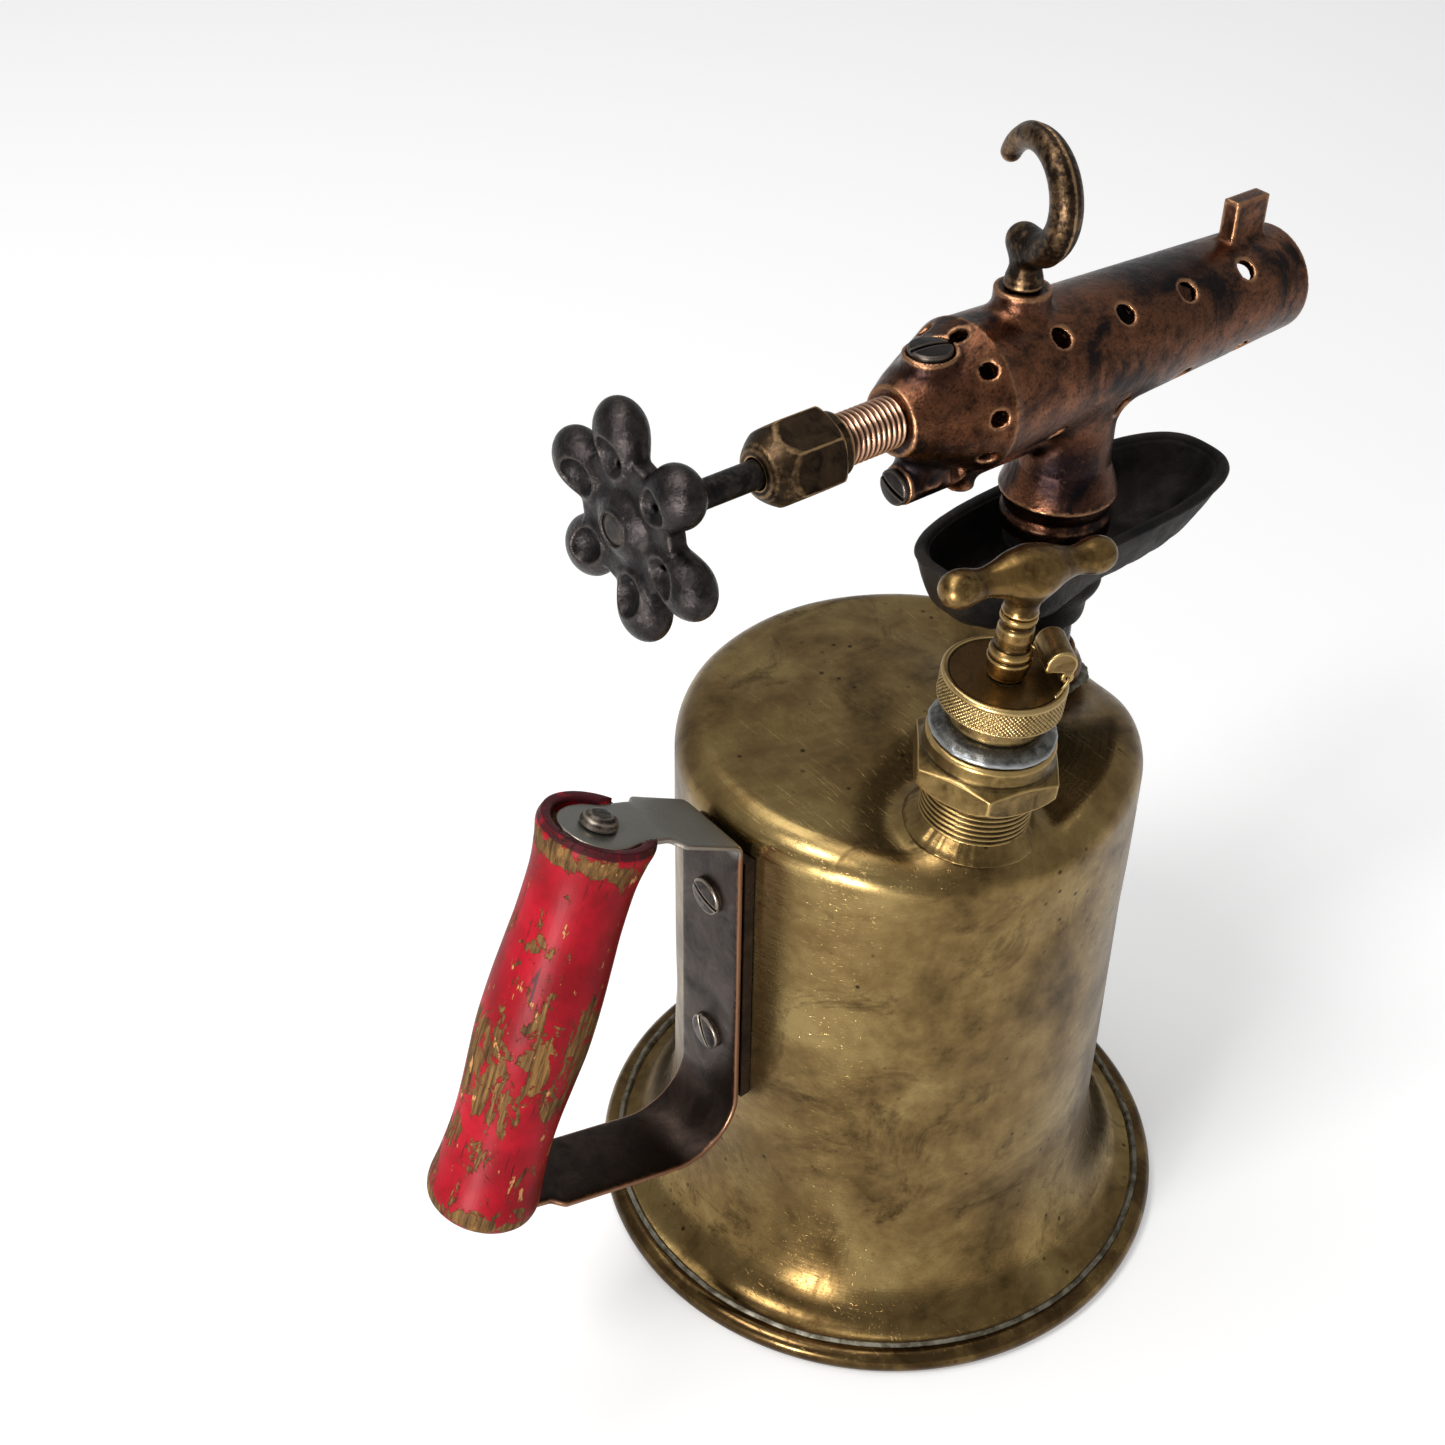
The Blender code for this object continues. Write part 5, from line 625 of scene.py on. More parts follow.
# %% Bottom disc, rolled over the flare as a round bead
BEAD = (66.6, 2.82, 3.0)
disc = np.linspace(0, 1, 20)
above = np.stack([63.55 * disc, 3.3 + 9 * (1 - disc ** 2)], -1)
bead = np.vstack([above, arc(*BEAD, 172, -70, 44), arc(*BEAD, -110, -166, 8), above[::-1] - (0, 1)])
piece("rolled_foot_bead", lathe(bead, 300), TANK, bead_brass, "tank", "tank_bottom")

# %% Solder


def wavering(size):
    """An uneven run of solder: the radius and the height waver with three sines of the angle."""
    def change(radius, angle, height):
        wave = size * (np.sin(7 * angle + 1) + 0.6 * np.sin(19 * angle) + 0.4 * np.sin(43 * angle + 2))
        return radius + wave, height + 0.5 * wave
    return change


for name, profile, ease, sides, size, where, finish, takes in (
        ("foot_solder_line", [(64.2, 5.5), (65.0, 6.5), (66.1, 6.0), (65.6, 5.2)], 0.3, 360, 0.1, TANK, solder,
         "lead"),
        ("neck_solder", [(11.2, -1.5), (14.4, -1.4), (13.6, -0.1), (12.5, 1.0), (11.3, 2.4)], 0.5, 160, 0.1, PUMP,
         tank_brass, "aged_brass"),
        ("riser_solder", [(8.0, 134.6), (8.0, 136.6), (10.9, 135.9), (12.2, 134.9), (10.0, 134.2)], 0.5, 160, 0.16,
         RISER, solder, "lead")):
    piece(name, lathe(eased(profile, ease), sides, wavering(size)), where, finish, "tank", takes=takes)

# %% [markdown]
# ## Bush, pump neck and pump nut
# These are plain turned pieces. The neck is threaded at about twenty turns to the inch, and a hexagon
# nut with a round collar grips it. The hexagon is milled by holding the radius under the distance to
# the nearest flat, softly, because wrenches have rounded every corner.

# %% Turned pieces over the pump hole and the riser hole


def along(where, rise=0, roll=0):
    """The same axes, moved up their own Z and rolled round it."""
    origin, (x, y, z) = where
    c, s = np.cos(np.radians(roll)), np.sin(np.radians(roll))
    return origin + z * rise * MM, np.array([c * x + s * y, c * y - s * x, z])


bush = [(7.05, 124), (10.2, 124), (10.2, 138.6), (8.6, 140.6), (8.3, 142.8), (7.05, 143)]
piece("barrel_bush", lathe(spaced(eased(bush, 1.3), 0.6, True), 128), RISER, bush_brass, "tank", "riser_bush")
neck = [(9.7, -8), (11.6, -8), (11.6, 15.0), (11.2, 15.5), (9.7, 15.5)]
piece("threaded_pump_neck", lathe(spaced(neck, 0.16, True), 160, threaded(11.0, 1.27, 0.45)), PUMP, nut_brass,
      "tank", "pump_neck")
nut = [(9.7, 22.6), (12.8, 22.6), (13.3, 21.9), (13.3, 19.4), (13.5, 18.5), (14.3, 17.8), (15.3, 17.35),
       (16.25, 17.1), (16.25, 13.8), (15.2, 12.6), (13.0, 11.25), (11.9, 11.2), (11.9, 15.8), (9.7, 15.8)]
ease = [0.3, 0.4, 0.4, 0.8, 0.5, 0.5, 0.5, 0.15, 0.3, 0.6, 0.3, 0.1, 0.1, 0.1]
piece("hexagon_pump_nut", lathe(spaced(eased(nut, ease), 0.3, True), 420, flats(28.2, 30)), along(PUMP, 0, 27.2),
      nut_brass, "tank", "pump_nut")

# %% Lead gasket


def hammered(radius, angle, height):
    """A lead ring squeezed out unevenly: slow sines round the edge, stronger further out."""
    push = np.clip((radius - 10) / 3, 0, 1)
    lump = 0.09 * np.sin(5 * angle) + 0.06 * np.sin(11 * angle + 2) + 0.05 * np.sin(23 * angle + height)
    return radius + push * (lump - 0.12), height + 0.3 * push * lump


gasket = [(8.6, 22.9), (12.7, 22.9), (13.15, 23.4), (12.9, 24.1), (11.9, 24.9), (10.3, 25.6), (8.6, 25.7)]
piece("lead_gasket", lathe(spaced(eased(gasket, 0.5), 0.3, True), 200, hammered), PUMP, gasket_lead, "tank",
      "pump_gasket")

# %% Knurled cap
CAP_R, GROOVE = 12.6, 0.95


def knurled(radius, angle, height):
    """Diamond knurling: two families of grooves, 0.95 mm apart, cross on the cap's edge."""
    turns = np.round(2 * np.pi * CAP_R / GROOVE)
    waves = [0.5 + 0.5 * np.cos(turns * angle + way * 2 * np.pi * height / GROOVE) for way in (1, -1)]
    ends = np.clip((height - 30.9) / 0.2, 0, 1) * np.clip((36.1 - height) / 0.2, 0, 1)
    return np.where(radius > 12.3, radius - 0.3 * np.maximum(*waves) ** 3 * ends, radius), height


cap = [(3.4, 14.5), (8, 14.5), (8, 25.9), (9.4, 26.0), (9.4, 30.1), (12.2, 30.3), (CAP_R, 30.8), (CAP_R, 36.5),
       (12.2, 37.05), (11.6, 37.05), (11.2, 36.7), (3.4, 36.7)]
cap = spaced(eased(cap, [0.1, 0.1, 0.1, 0.2, 0.4, 0.4, 0.3, 0.4, 0.5, 0.3, 0.3, 0.2]), 0.22, True)
# fine rings only on the knurled head: below it every third ring is kept
fine = (cap[:, 1] > 30) & (cap[:, 0] > 9.3)
cap = cap[fine | (np.arange(len(cap)) % 3 == 0)]
piece("knurled_cap", lathe(cap, 640, knurled), PUMP, pump_brass, "tank", "pump_cap")

# %% Plunger rod with its bead, ring and skirt
rod = [(0, -75.8), (2, -75.8), (2, -66), (3.1, -66), (3.1, 36.95), (3.8, 37.1), (4.1, 38.4), (4.45, 40.4),
       (4.5, 41.2), (4.15, 41.7), (4.35, 42.2), (4.35, 42.9), (4.0, 43.5), (3.5, 44.0), (3.5, 44.7), (3.7, 46.4),
       (3.6, 48.4), (3.2, 49.1), (3.4, 49.7), (3.75, 50.3), (3.7, 51.2), (3.3, 51.45), (0, 51.45)]
piece("plunger_rod", lathe(spaced(eased(rod, 0.35, False), 0.3), 96), PUMP, tee_brass, "pump_rod", "pump_rod")

# %% [markdown]
# ## Castings
# The burner, the hook, the wheel and the T-handle have no single axis: bosses grow out of a tube, and
# every inner corner is filled with a fillet. Such a shape is easier to describe by distance than by a
# grid. A function says how far any point is from the surface, less than zero inside. Two shapes are
# fused by the softened lesser of their distances, which draws the fillet by itself. Then a skin of
# squares is wrapped round the zero level, one corner in each cell of space that the surface crosses.

# %% Distances


def outline_distance(outline, a, b):
    """Signed distance to a closed outline: to the nearest edge, negative where a ray crosses it oddly."""
    nearest, crossings = np.full(np.shape(a), 1e9), np.zeros(np.shape(a), bool)
    for (ax, ay), (bx, by) in zip(outline, np.roll(outline, -1, axis=0)):
        ex, ey = bx - ax, by - ay
        px, py = a - ax, b - ay
        share = np.clip((px * ex + py * ey) / (ex * ex + ey * ey), 0, 1)
        nearest = np.minimum(nearest, (px - ex * share) ** 2 + (py - ey * share) ** 2)
        if ay != by:
            crossings ^= ((ay > b) != (by > b)) & (a < ax + ex * (b - ay) / (by - ay))
    return np.where(crossings, -1, 1) * np.sqrt(nearest)


def turned_distance(profile, round_off, height, radius):
    """Distance to a turned solid from (height, radius) points, mirrored past the axis, corners rounded."""
    half = np.array(profile, float)
    whole = np.vstack([half, half[::-1] * (1, -1)])
    whole = whole[np.linalg.norm(whole - np.roll(whole, 1, axis=0), axis=1) > 1e-6]
    return outline_distance(whole, height, radius) - round_off


def rod_distance(p, start, end, radius):
    """Distance to a round-ended rod: to the nearest point of its axis, less its radius."""
    start, run = np.array(start, float), np.array(end, float) - np.array(start, float)
    off = [p[i] - start[i] for i in range(3)]
    share = np.clip(sum(off[i] * run[i] for i in range(3)) / (run @ run), 0, 1)
    return np.sqrt(sum((off[i] - run[i] * share) ** 2 for i in range(3))) - radius


def crossed_distance(a, b, round_off):
    """Distance to what two shapes share, each already taken in by the rounding of their common edge."""
    return np.hypot(np.maximum(a, 0), np.maximum(b, 0)) + np.minimum(np.maximum(a, b), 0) - round_off


def drum_distance(off_axis, height, radius, low, high, round_off=0.4):
    """Distance to a flat-ended drum of given radius between two heights, its edges rounded."""
    beyond = np.abs(height - (low + high) / 2) - (high - low) / 2
    return crossed_distance(off_axis - radius + round_off, beyond + round_off, round_off)


def carve(a, b, width=0.3):
    """The first shape without the second, the rim eased by a width."""
    return -fuse(-a, b, width)


# %% Skin round a distance


def cast(distance, low, high, step):
    """Points and squares of the surface: one point per crossed cell, moved onto the zero level."""
    grid = [np.arange(a, b + step, step) for a, b in zip(low, high)]
    field = distance(np.meshgrid(*grid, indexing="ij"))
    solid = field < 0
    sizes = np.array(field.shape)
    corners = [(i, j, k) for i in (0, 1) for j in (0, 1) for k in (0, 1)]
    count = sum(solid[tuple(slice(c, n - 1 + c) for c, n in zip(corner, sizes))].astype(np.int8)
                for corner in corners)
    cells = np.argwhere((count > 0) & (count < 8))
    number = np.full(sizes - 1, -1)
    number[tuple(cells.T)] = np.arange(len(cells))
    total, hits = np.zeros((len(cells), 3)), np.zeros((len(cells), 1))
    for axis, step_ahead in enumerate(np.eye(3, dtype=int)):
        for corner in corners:
            if corner[axis]:
                continue
            a, b = (field[tuple((cells + place).T)] for place in (corner, corner + step_ahead))
            crossed = (a < 0) != (b < 0)
            spot = np.tile(np.array(corner, float), (len(cells), 1))
            spot[:, axis] = np.where(crossed, a / np.where(crossed, a - b, 1), 0)
            total += spot * crossed[:, None]
            hits += crossed[:, None]
    points = np.array(low) + (cells + total / hits) * step
    faces = []
    for axis in range(3):
        side, other = (axis + 1) % 3, (axis + 2) % 3
        first, last = (solid[tuple(slice(start, end) if i == axis else slice(1, -1) for i in range(3))]
                       for start, end in ((0, -1), (1, None)))
        for inward, outward in ((first & ~last, 1), (last & ~first, -1)):
            at = np.argwhere(inward) + [0 if i == axis else 1 for i in range(3)]
            ring = []
            for a, b in ((-1, -1), (0, -1), (0, 0), (-1, 0)):
                near = at.copy()
                near[:, side] += a
                near[:, other] += b
                ring.append(number[tuple(near.T)])
            faces.append(np.stack(ring[::outward], -1))
    reach = 0.15 * step
    for _ in range(4):
        value = distance(list(points.T))
        slope = np.stack([(distance(list((points + move).T)) - distance(list((points - move).T))) / (2 * reach)
                          for move in reach * np.eye(3)], -1)
        shift = value[:, None] * slope / np.maximum((slope ** 2).sum(axis=1, keepdims=True), 0.2)
        points = points - np.clip(shift, -0.6 * step, 0.6 * step)
    return points, [np.vstack(faces)]


print("a ball's distance at its middle:", rod_distance(np.zeros(3), (0, 0, -1), (0, 0, 1), 2.0))

# %% [markdown]
# ## The burner
# One bronze casting does everything: the column brings the fuel up from the cup, a passage under the
# tube heats it, and it leaves through the jet inside the cone. The tube tapers a little towards the
# muzzle and has four rows of air holes, and nine more holes stand round the cone. All of it is fused
# from turned outlines and drums, then the flame space, the bores and the holes are carved out.

# %% Burner casting
TUBE_OUTLINE = [(97.5, 11.3), (9.3, 14.8), (7.5, 15.15), (-6.6, 9.2), (-11.0, 6.8), (-11.0, 4.1), (-35.5, 4.1)]
FLAME_SPACE = [(2.5, 10.1), (6.8, 13.3), (9.5, 13.1), (104, 9.5)]
COLUMN = [(-41.6, 11.6), (-38.2, 11.6), (-36.6, 10.9), (-32.6, 12.4), (-25.6, 9.9), (-9.0, 9.9)]
AIR_ROWS = [(39.5 + 90 * row, 24 + 18.7 * place, 2.25) for row in range(4) for place in range(4)]
CONE_HOLES = [(43 + 40 * turn, 4.2, 1.7) for turn in range(9)]
HOOK_X, PLUG_X, LUG_X = 21.3, -2.4, 86.5


def burner_distance(p):
    """Distance to the burner casting on the burner's axes: X to the muzzle, Z up."""
    u, v, w = p
    lean = np.radians(TILT)
    column_x, column_z = np.cos(lean) * u + np.sin(lean) * w, np.cos(lean) * w - np.sin(lean) * u
    tube, column, rear = np.hypot(v, w), np.hypot(column_x - RISER_X, v), np.hypot(u - PLUG_X, v)
    solid = turned_distance(TUBE_OUTLINE, 0.5, u, tube)
    solid = fuse(solid, turned_distance(COLUMN, 0.4, column_z, column), 4.5)
    # the fuel passage, the rear boss below and above, the drip boss and the hook's boss
    for off, height, radius, low, high, edge, fillet in (
            (np.hypot(v, w + 15.6), u, 4.1, -8, 38, 0.4, 2.2), (rear, w, 4.8, -15.6, 0, 0.4, 2.0),
            (rear, w, 5.5, 0, 12.2, 0.5, 1.8), (np.hypot(u - 9.2, v), w, 3.1, -21.5, -14, 0.5, 1.5),
            (np.hypot(u - HOOK_X, v), w, 5.8, 5, 19.2, 0.5, 2.6)):
        solid = fuse(solid, drum_distance(off, height, radius, low, high, edge), fillet)
    lug = np.maximum(np.abs(u - LUG_X) - 4.2, np.maximum(np.abs(v) - 1.2, np.abs(w - 13) - 7.5)) - 0.8
    solid = carve(fuse(solid, lug, 1.5), turned_distance(FLAME_SPACE, 0.0, u, tube), 0.5)
    for turn, place, size in AIR_ROWS + CONE_HOLES:
        up, side = np.cos(np.radians(turn)), -np.sin(np.radians(turn))
        reach = v * side + w * up
        across = np.hypot(u - place, v * up - w * side)
        solid = carve(solid, np.maximum(across - size, 5 - reach), 0.45)
    # the bores of the gland, the jet and its seat, the riser and the top plug
    for off, height, radius, low, high, edge, rim in (
            (tube, u, 3.25, -40, -9.3, 0.1, 0.1), (tube, u, 1.9, -12, 4, 0.1, 0.1), (tube, u, 2.95, -4.2, 4, 0.1, 0.1),
            (column, column_z, 7.1, -46, -27.8, 0.2, 0.3), (rear, w, 4.75, 11.9, 20, 0.1, 0.1)):
        solid = carve(solid, drum_distance(off, height, radius, low, high, edge), rim)
    return solid


burner, burner_faces = cast(burner_distance, (-38, -17.5, -43.4), (99.5, 17.5, 22.6), 0.55)
SOOTED = ((PLUG_X, 0, 9, 5.5), (-7, 0, -16, 5.5), (33, -8, -24, 6.5), (HOOK_X, 0, 19, 4.5), (60, 8, 10, 12))
soot = sum(np.exp(-((burner - spot) ** 2).sum(axis=1) / (2 * size ** 2)) for *spot, size in SOOTED)
piece("burner_casting", (burner, burner_faces), BURNER, burner_bronze, "tank", "burner_body", soot=soot)
gland = spaced([(4.3, -35.9), (5.25, -35.9), (5.25, -11.4), (4.3, -11.4)], 0.12, True)
piece("gland_thread", lathe(gland, 120, threaded(4.9, 1.3, 0.55)), BARREL, thread_copper, "tank", takes="bronze")

# %% [markdown]
# ## Hook, T-handle and hand wheel
# The hook holds a soldering iron over the flame: a bar bent to an open ring, with its shank swelling
# where it meets the ring. The T-handle is a bar with ball ends that swells round its stem. The wheel has
# six petals, each a ball that hand and mould have flattened, with a spoon-shaped hollow inside it.

# %% Hook
HOOK_R, HOOK_TURN = 10.6, 12.6
HOOK_FOOT = [(15.2, 2.9), (19.4, 2.9), (19.8, 3.7), (21.4, 3.45), (23.8, 2.7), (27, 2.6)]


def hook_distance(p):
    """A ring's arc as the distance to its circle, closed by its end points, fused with the shank."""
    x, y, z = p[0], p[1] + 0.4, p[2] - 38.5
    start, sweep = np.radians(-78), np.radians(256)
    behind = (start - np.arctan2(z, y)) % (2 * np.pi)
    circle = np.hypot(x, np.hypot(y, z) - HOOK_R)
    ends = [np.sqrt(x ** 2 + (y - HOOK_R * np.cos(a)) ** 2 + (z - HOOK_R * np.sin(a)) ** 2)
            for a in (start, start - sweep)]
    share = np.clip(behind / sweep, 0, 1)
    bar = np.where(behind <= sweep, circle - 3.4 + 1.3 * share ** 2.4, np.minimum(ends[0] - 3.4, ends[1] - 2.1))
    # the flash line of the two-part mould runs round the outside of the bar
    bar = bar - 0.22 * np.exp(-(x / 0.35) ** 2) * (np.hypot(y, z) > HOOK_R) * (behind <= sweep)
    heel = rod_distance(p, (0, 0.2, 27.2), (0, -2.0, 27.9), 2.6)
    shank = rod_distance(p, (0, 0, 14), (0, -0.2, 28), 2.5)
    foot = turned_distance(HOOK_FOOT, 0.3, p[2], np.hypot(p[0], p[1]))
    return fuse(fuse(fuse(bar, heel, 1.5), shank, 3.0), foot, 1.0)


hook, hook_faces = cast(hook_distance, (-5.6, -15.6, 14.0), (5.6, 14.6, 53.4), 0.42)
c, s = np.cos(np.radians(HOOK_TURN)), np.sin(np.radians(HOOK_TURN))
hook = hook @ np.array([[c, -s, 0], [s, c, 0], [0, 0, 1]]) + (HOOK_X, 0, 0)
piece("rest_hook_casting", (hook, hook_faces), BURNER, hook_bronze, "tank", "rest_hook")

# %% T-handle
TEE_HALF = np.array([(-19.9, 0), (-19.75, 1.5), (-18.7, 3.0), (-16.4, 3.8), (-14.2, 3.6), (-12.2, 2.95),
                     (-10.2, 2.8), (-7.4, 3.5), (-4.0, 4.8), (0, 5.5)])
TEE_BAR = eased(np.vstack([TEE_HALF, TEE_HALF[-2::-1] * (-1, 1)]), 1.1, closed=False) * (1, 0.955)
TEE_STEM = [(0.25, 3.4), (1.2, 3.15), (3.4, 3.1), (5.6, 3.6), (7.6, 4.2)]


def tee_distance(p):
    """The bar's outline turned about X, fused with a stem that widens upwards."""
    x, y, z = p
    return fuse(turned_distance(TEE_BAR, 0.2, x, np.hypot(y, z - 9.1)),
                turned_distance(TEE_STEM, 0.25, z, np.hypot(x, y)), 3.0)


piece("ball_ended_tee", cast(tee_distance, (-21.2, -6.4, -0.8), (21.2, 6.4, 15.6), 0.36), along(PUMP, 51.7, 30),
      tee_brass, "pump_rod", "tee_handle")

# %% Hand wheel


def ball_distance(x, y, z, half_x, half_y, half_z):
    """Near distance to an ellipsoid: k (k - 1) / m, with k and m the lengths of p / half and p / half^2."""
    k = np.sqrt((x / half_x) ** 2 + (y / half_y) ** 2 + (z / half_z) ** 2)
    m = np.sqrt((x / half_x ** 2) ** 2 + (y / half_y ** 2) ** 2 + (z / half_z ** 2) ** 2)
    return k * (k - 1) / np.maximum(m, 1e-3)


def wheel_distance(p):
    """One petal's formula is used for six: the angle is folded into the nearest sixth."""
    x, y, z = p
    radius = np.hypot(x, y)
    fold = (np.arctan2(y, x) + np.pi / 6) % (np.pi / 3) - np.pi / 6
    a, b = radius * np.cos(fold), radius * np.sin(fold)
    petal = fuse(ball_distance(a - 17.0, b, z, 6.5, 6.0, 4.6), ball_distance(a - 12.6, b, z, 6.2, 5.3, 3.9), 1.6)
    web = drum_distance(radius, z, 13.6, -2.1, 2.1, 1.0)
    hub = fuse(ball_distance(x, y, z, 7.6, 7.6, 5.6), drum_distance(radius, z, 6.4, -5.2, 3.4, 1.4), 1.0)
    solid = fuse(fuse(petal, web, 0.9), hub, 1.5)
    spoons = [ball_distance(a - 12.9, b, z - face * 5.0, 4.5, 3.9, 3.5) for face in (1, -1)]
    pinhole = np.hypot(a - 11.4, b) - 0.6
    # the spindle's end is riveted over in the hub, with a groove round it
    groove, bore = np.hypot(radius - 4.3, z - 5.3) - 0.7, np.maximum(radius - 3.15, z - 8)
    for hollow, rim in ((spoons[0], 0.35), (spoons[1], 0.35), (pinhole, 0.5), (groove, 0.3), (bore, 0.3)):
        solid = carve(solid, hollow, rim)
    return solid


piece("petal_hand_wheel", cast(wheel_distance, (-24.2, -24.2, -6.6), (24.2, 24.2, 6.0), 0.42),
      along(STEM, 72.5, 12), handled_iron, "spindle", "hand_wheel")

# %% Packing nut and spindle
nut = [(3.2, 44.8), (4.6, 44.7), (5.6, 44.0), (6.9, 42.4), (8.2, 40.2), (9.0, 38.2), (9.1, 37.2), (9.1, 29.8),
       (8.2, 28.7), (6.5, 28.6), (6.5, 25.8), (5.5, 25.8), (5.5, 40.8), (3.2, 40.8)]
ease = [0.2, 0.4, 0.4, 0.8, 0.8, 0.3, 0.3, 0.4, 0.3, 0.2, 0.3, 0.1, 0.1, 0.1]
piece("round_nosed_packing_nut", lathe(spaced(eased(nut, ease), 0.25, True), 300, flats(15.2, 30, 0.45)),
      along(STEM, 0, 10), gland_nut_brass, "tank", "packing_nut")
spindle = [(0, 9.3), (2.85, 9.3), (2.85, 75.9), (3.5, 76.0), (3.3, 76.9), (2.0, 77.3), (0, 77.3)]
piece("blackened_spindle", lathe(spaced(eased(spindle, 0.3, False), 0.8), 72), STEM, spindle_steel, "spindle",
      "valve_spindle")

# %% [markdown]
# ## Small parts of the pump head
# The catch is an arched strip that hooks over the rod's collar to hold the handle down. A bright wire is
# its pin, and runs on round the cap as its spring. Screws and plugs are domes with a sawn slot. They
# are cast with a finer cell than the large pieces, because their edges are seen close.

# %% Catch
CATCH_OFF, CATCH_TURN = 10.9, 9.5
turn = np.radians(CATCH_TURN)
catch_spot = (CATCH_OFF * np.cos(turn), CATCH_OFF * np.sin(turn), 37.1 + 1.8)
CATCH = along((to_world(catch_spot, PUMP), PUMP[1]), 0, CATCH_TURN)


def catch_distance(p):
    """A half-round bar: a drum cut flat below, fused with knuckle, tongue and tip, and cut to a width."""
    x, y, z = p
    arch = np.maximum(np.hypot(x + 1.6, z - 2.9) - 2.85, 1.4 - z) - 0.25
    tongue = np.maximum(np.abs(x + 0.1) - 0.75, np.abs(z - 1.6) - 1.8) - 0.15
    knuckle, tip = np.hypot(x, z) - 1.3, np.hypot(x + 4.1, z - 1.9) - 0.7
    strip = fuse(fuse(fuse(arch, knuckle, 0.7), tongue, 0.5), tip, 0.5)
    return carve(crossed_distance(strip + 0.4, np.abs(y) - 4.2, 0.4), np.hypot(x, z) - 0.45, 0.1)


piece("arched_rod_catch", cast(catch_distance, (-5.8, -5.2, -2.0), (2.0, 5.2, 7.2), 0.16), CATCH, pump_brass,
      "catch", "rod_catch")

# %% Wire


def tube(path, radius, sides):
    """A round bar along a path: each ring stands square to the run between its neighbours."""
    run = np.gradient(path, axis=0)
    run /= np.linalg.norm(run, axis=1, keepdims=True)
    side = np.cross(run, (0.13, 0.21, 1.0))
    side /= np.linalg.norm(side, axis=1, keepdims=True)
    up = np.cross(side, run)
    angle = np.linspace(0, 2 * np.pi, sides, endpoint=False)[None, :, None]
    return skin(path[:, None] + radius * (np.cos(angle) * side[:, None] + np.sin(angle) * up[:, None]))


def smooth_path(points, count):
    """A path through the points: cubics whose slope at a point is half the run between its neighbours."""
    p = np.asarray(points, float)
    p = np.vstack([2 * p[0] - p[1], p, 2 * p[-1] - p[-2]])
    at = np.linspace(0, len(p) - 3 - 1e-9, count)
    i, t = at.astype(int), (at % 1)[:, None]
    a, b, c, d = p[i], p[i + 1], p[i + 2], p[i + 3]
    return 0.5 * (2 * b + (c - a) * t + (2 * a - 5 * b + 4 * c - d) * t ** 2 + (3 * b - a - 3 * c + d) * t ** 3)


tail = -np.radians(np.linspace(32.5, 50, 7))
wire = [(0, 5.2, 0), (0, 2.0, 0), (0, -2.0, 0), (0, -5.0, 0)]
wire += [(11.46 * np.cos(a) - CATCH_OFF, 11.46 * np.sin(a), -1.22) for a in tail]
piece("bright_catch_wire", tube(smooth_path(wire, 90), 0.28, 12), CATCH, wire_brass, "tank", "catch_wire")

# %% Screws and plugs


def slotted_head(radius, height, shank, length, turn, slot=0.95, crown=0.5):
    """A domed head with a saw cut over a plain shank: the slot is taken out along the turned X."""
    c, s = np.cos(np.radians(turn)), np.sin(np.radians(turn))

    def distance(p):
        x, y, z = p
        off = np.hypot(x, y)
        head = drum_distance(off, z + crown * (off / radius) ** 2, radius, 0, height, 0.35)
        solid = fuse(head, drum_distance(off, z, shank, -length, 0.4, 0.2), 0.2)
        return carve(solid, np.maximum(np.abs(c * y - s * x) - slot / 2, height - 0.85 - z), 0.15)

    reach = radius + 0.5
    return cast(distance, (-reach, -reach, -length - 0.4), (reach, reach, height + 0.5), 0.2)


STRAP_X = -(TANK_R + 0.3 + 1.6 + 0.3 + 0.8)
TOP_PLUG = (to_world((PLUG_X, 0, 11.9), BURNER), BURNER[1])
REAR_PLUG = along((to_world((0, 0, -15.6), BURNER), STEM[1]), 8.3)
UPPER, LOWER = (axes(STRAP_X - 1.1, 0, height, lean=90, azimuth=180) for height in (118.3, 77.5))
for name, node, where, finish, sizes in (
        ("slotted_top_plug", "plug_top", TOP_PLUG, spindle_steel, (4.5, 1.8, 2.6, 4.7, -12)),
        ("slotted_rear_plug", "plug_rear", REAR_PLUG, spindle_steel, (3.8, 1.6, 2.2, 3.7, 70)),
        ("upper_strap_screw", "strap_screw_upper", UPPER, screw_steel, (4.3, 1.4, 2.2, 3.4, 70)),
        ("lower_strap_screw", "strap_screw_lower", LOWER, screw_steel, (4.3, 1.4, 2.2, 3.4, 25))):
    piece(name, slotted_head(*sizes), where, finish, "tank", node)

# %% [markdown]
# ## The priming cup
# The cup is a boat-shaped iron casting that holds a spoonful of spirit to warm the burner. Seen from
# above it is a squared oval: |x/a|^2.8 + |y/b|^2.8 = 1. Below the rim the same oval shrinks towards the
# floor, faster in the last millimetres, and the rim is rounded as a sand mould leaves it.

# %% Cup
CUP_RIM, CUP_DEEP, CUP_THICK = 177.2, 16.2, 2.8
LEVELS = smooth_path([(0, 0.0, 0.0), (0, 0.2, 0.2), (0.0, 0.45, 0.40), (0.02, 0.54, 0.47), (0.06, 0.62, 0.54),
                      (0.22, 0.76, 0.70), (0.50, 0.875, 0.83), (0.78, 0.950, 0.93), (0.92, 0.985, 0.978)], 44)


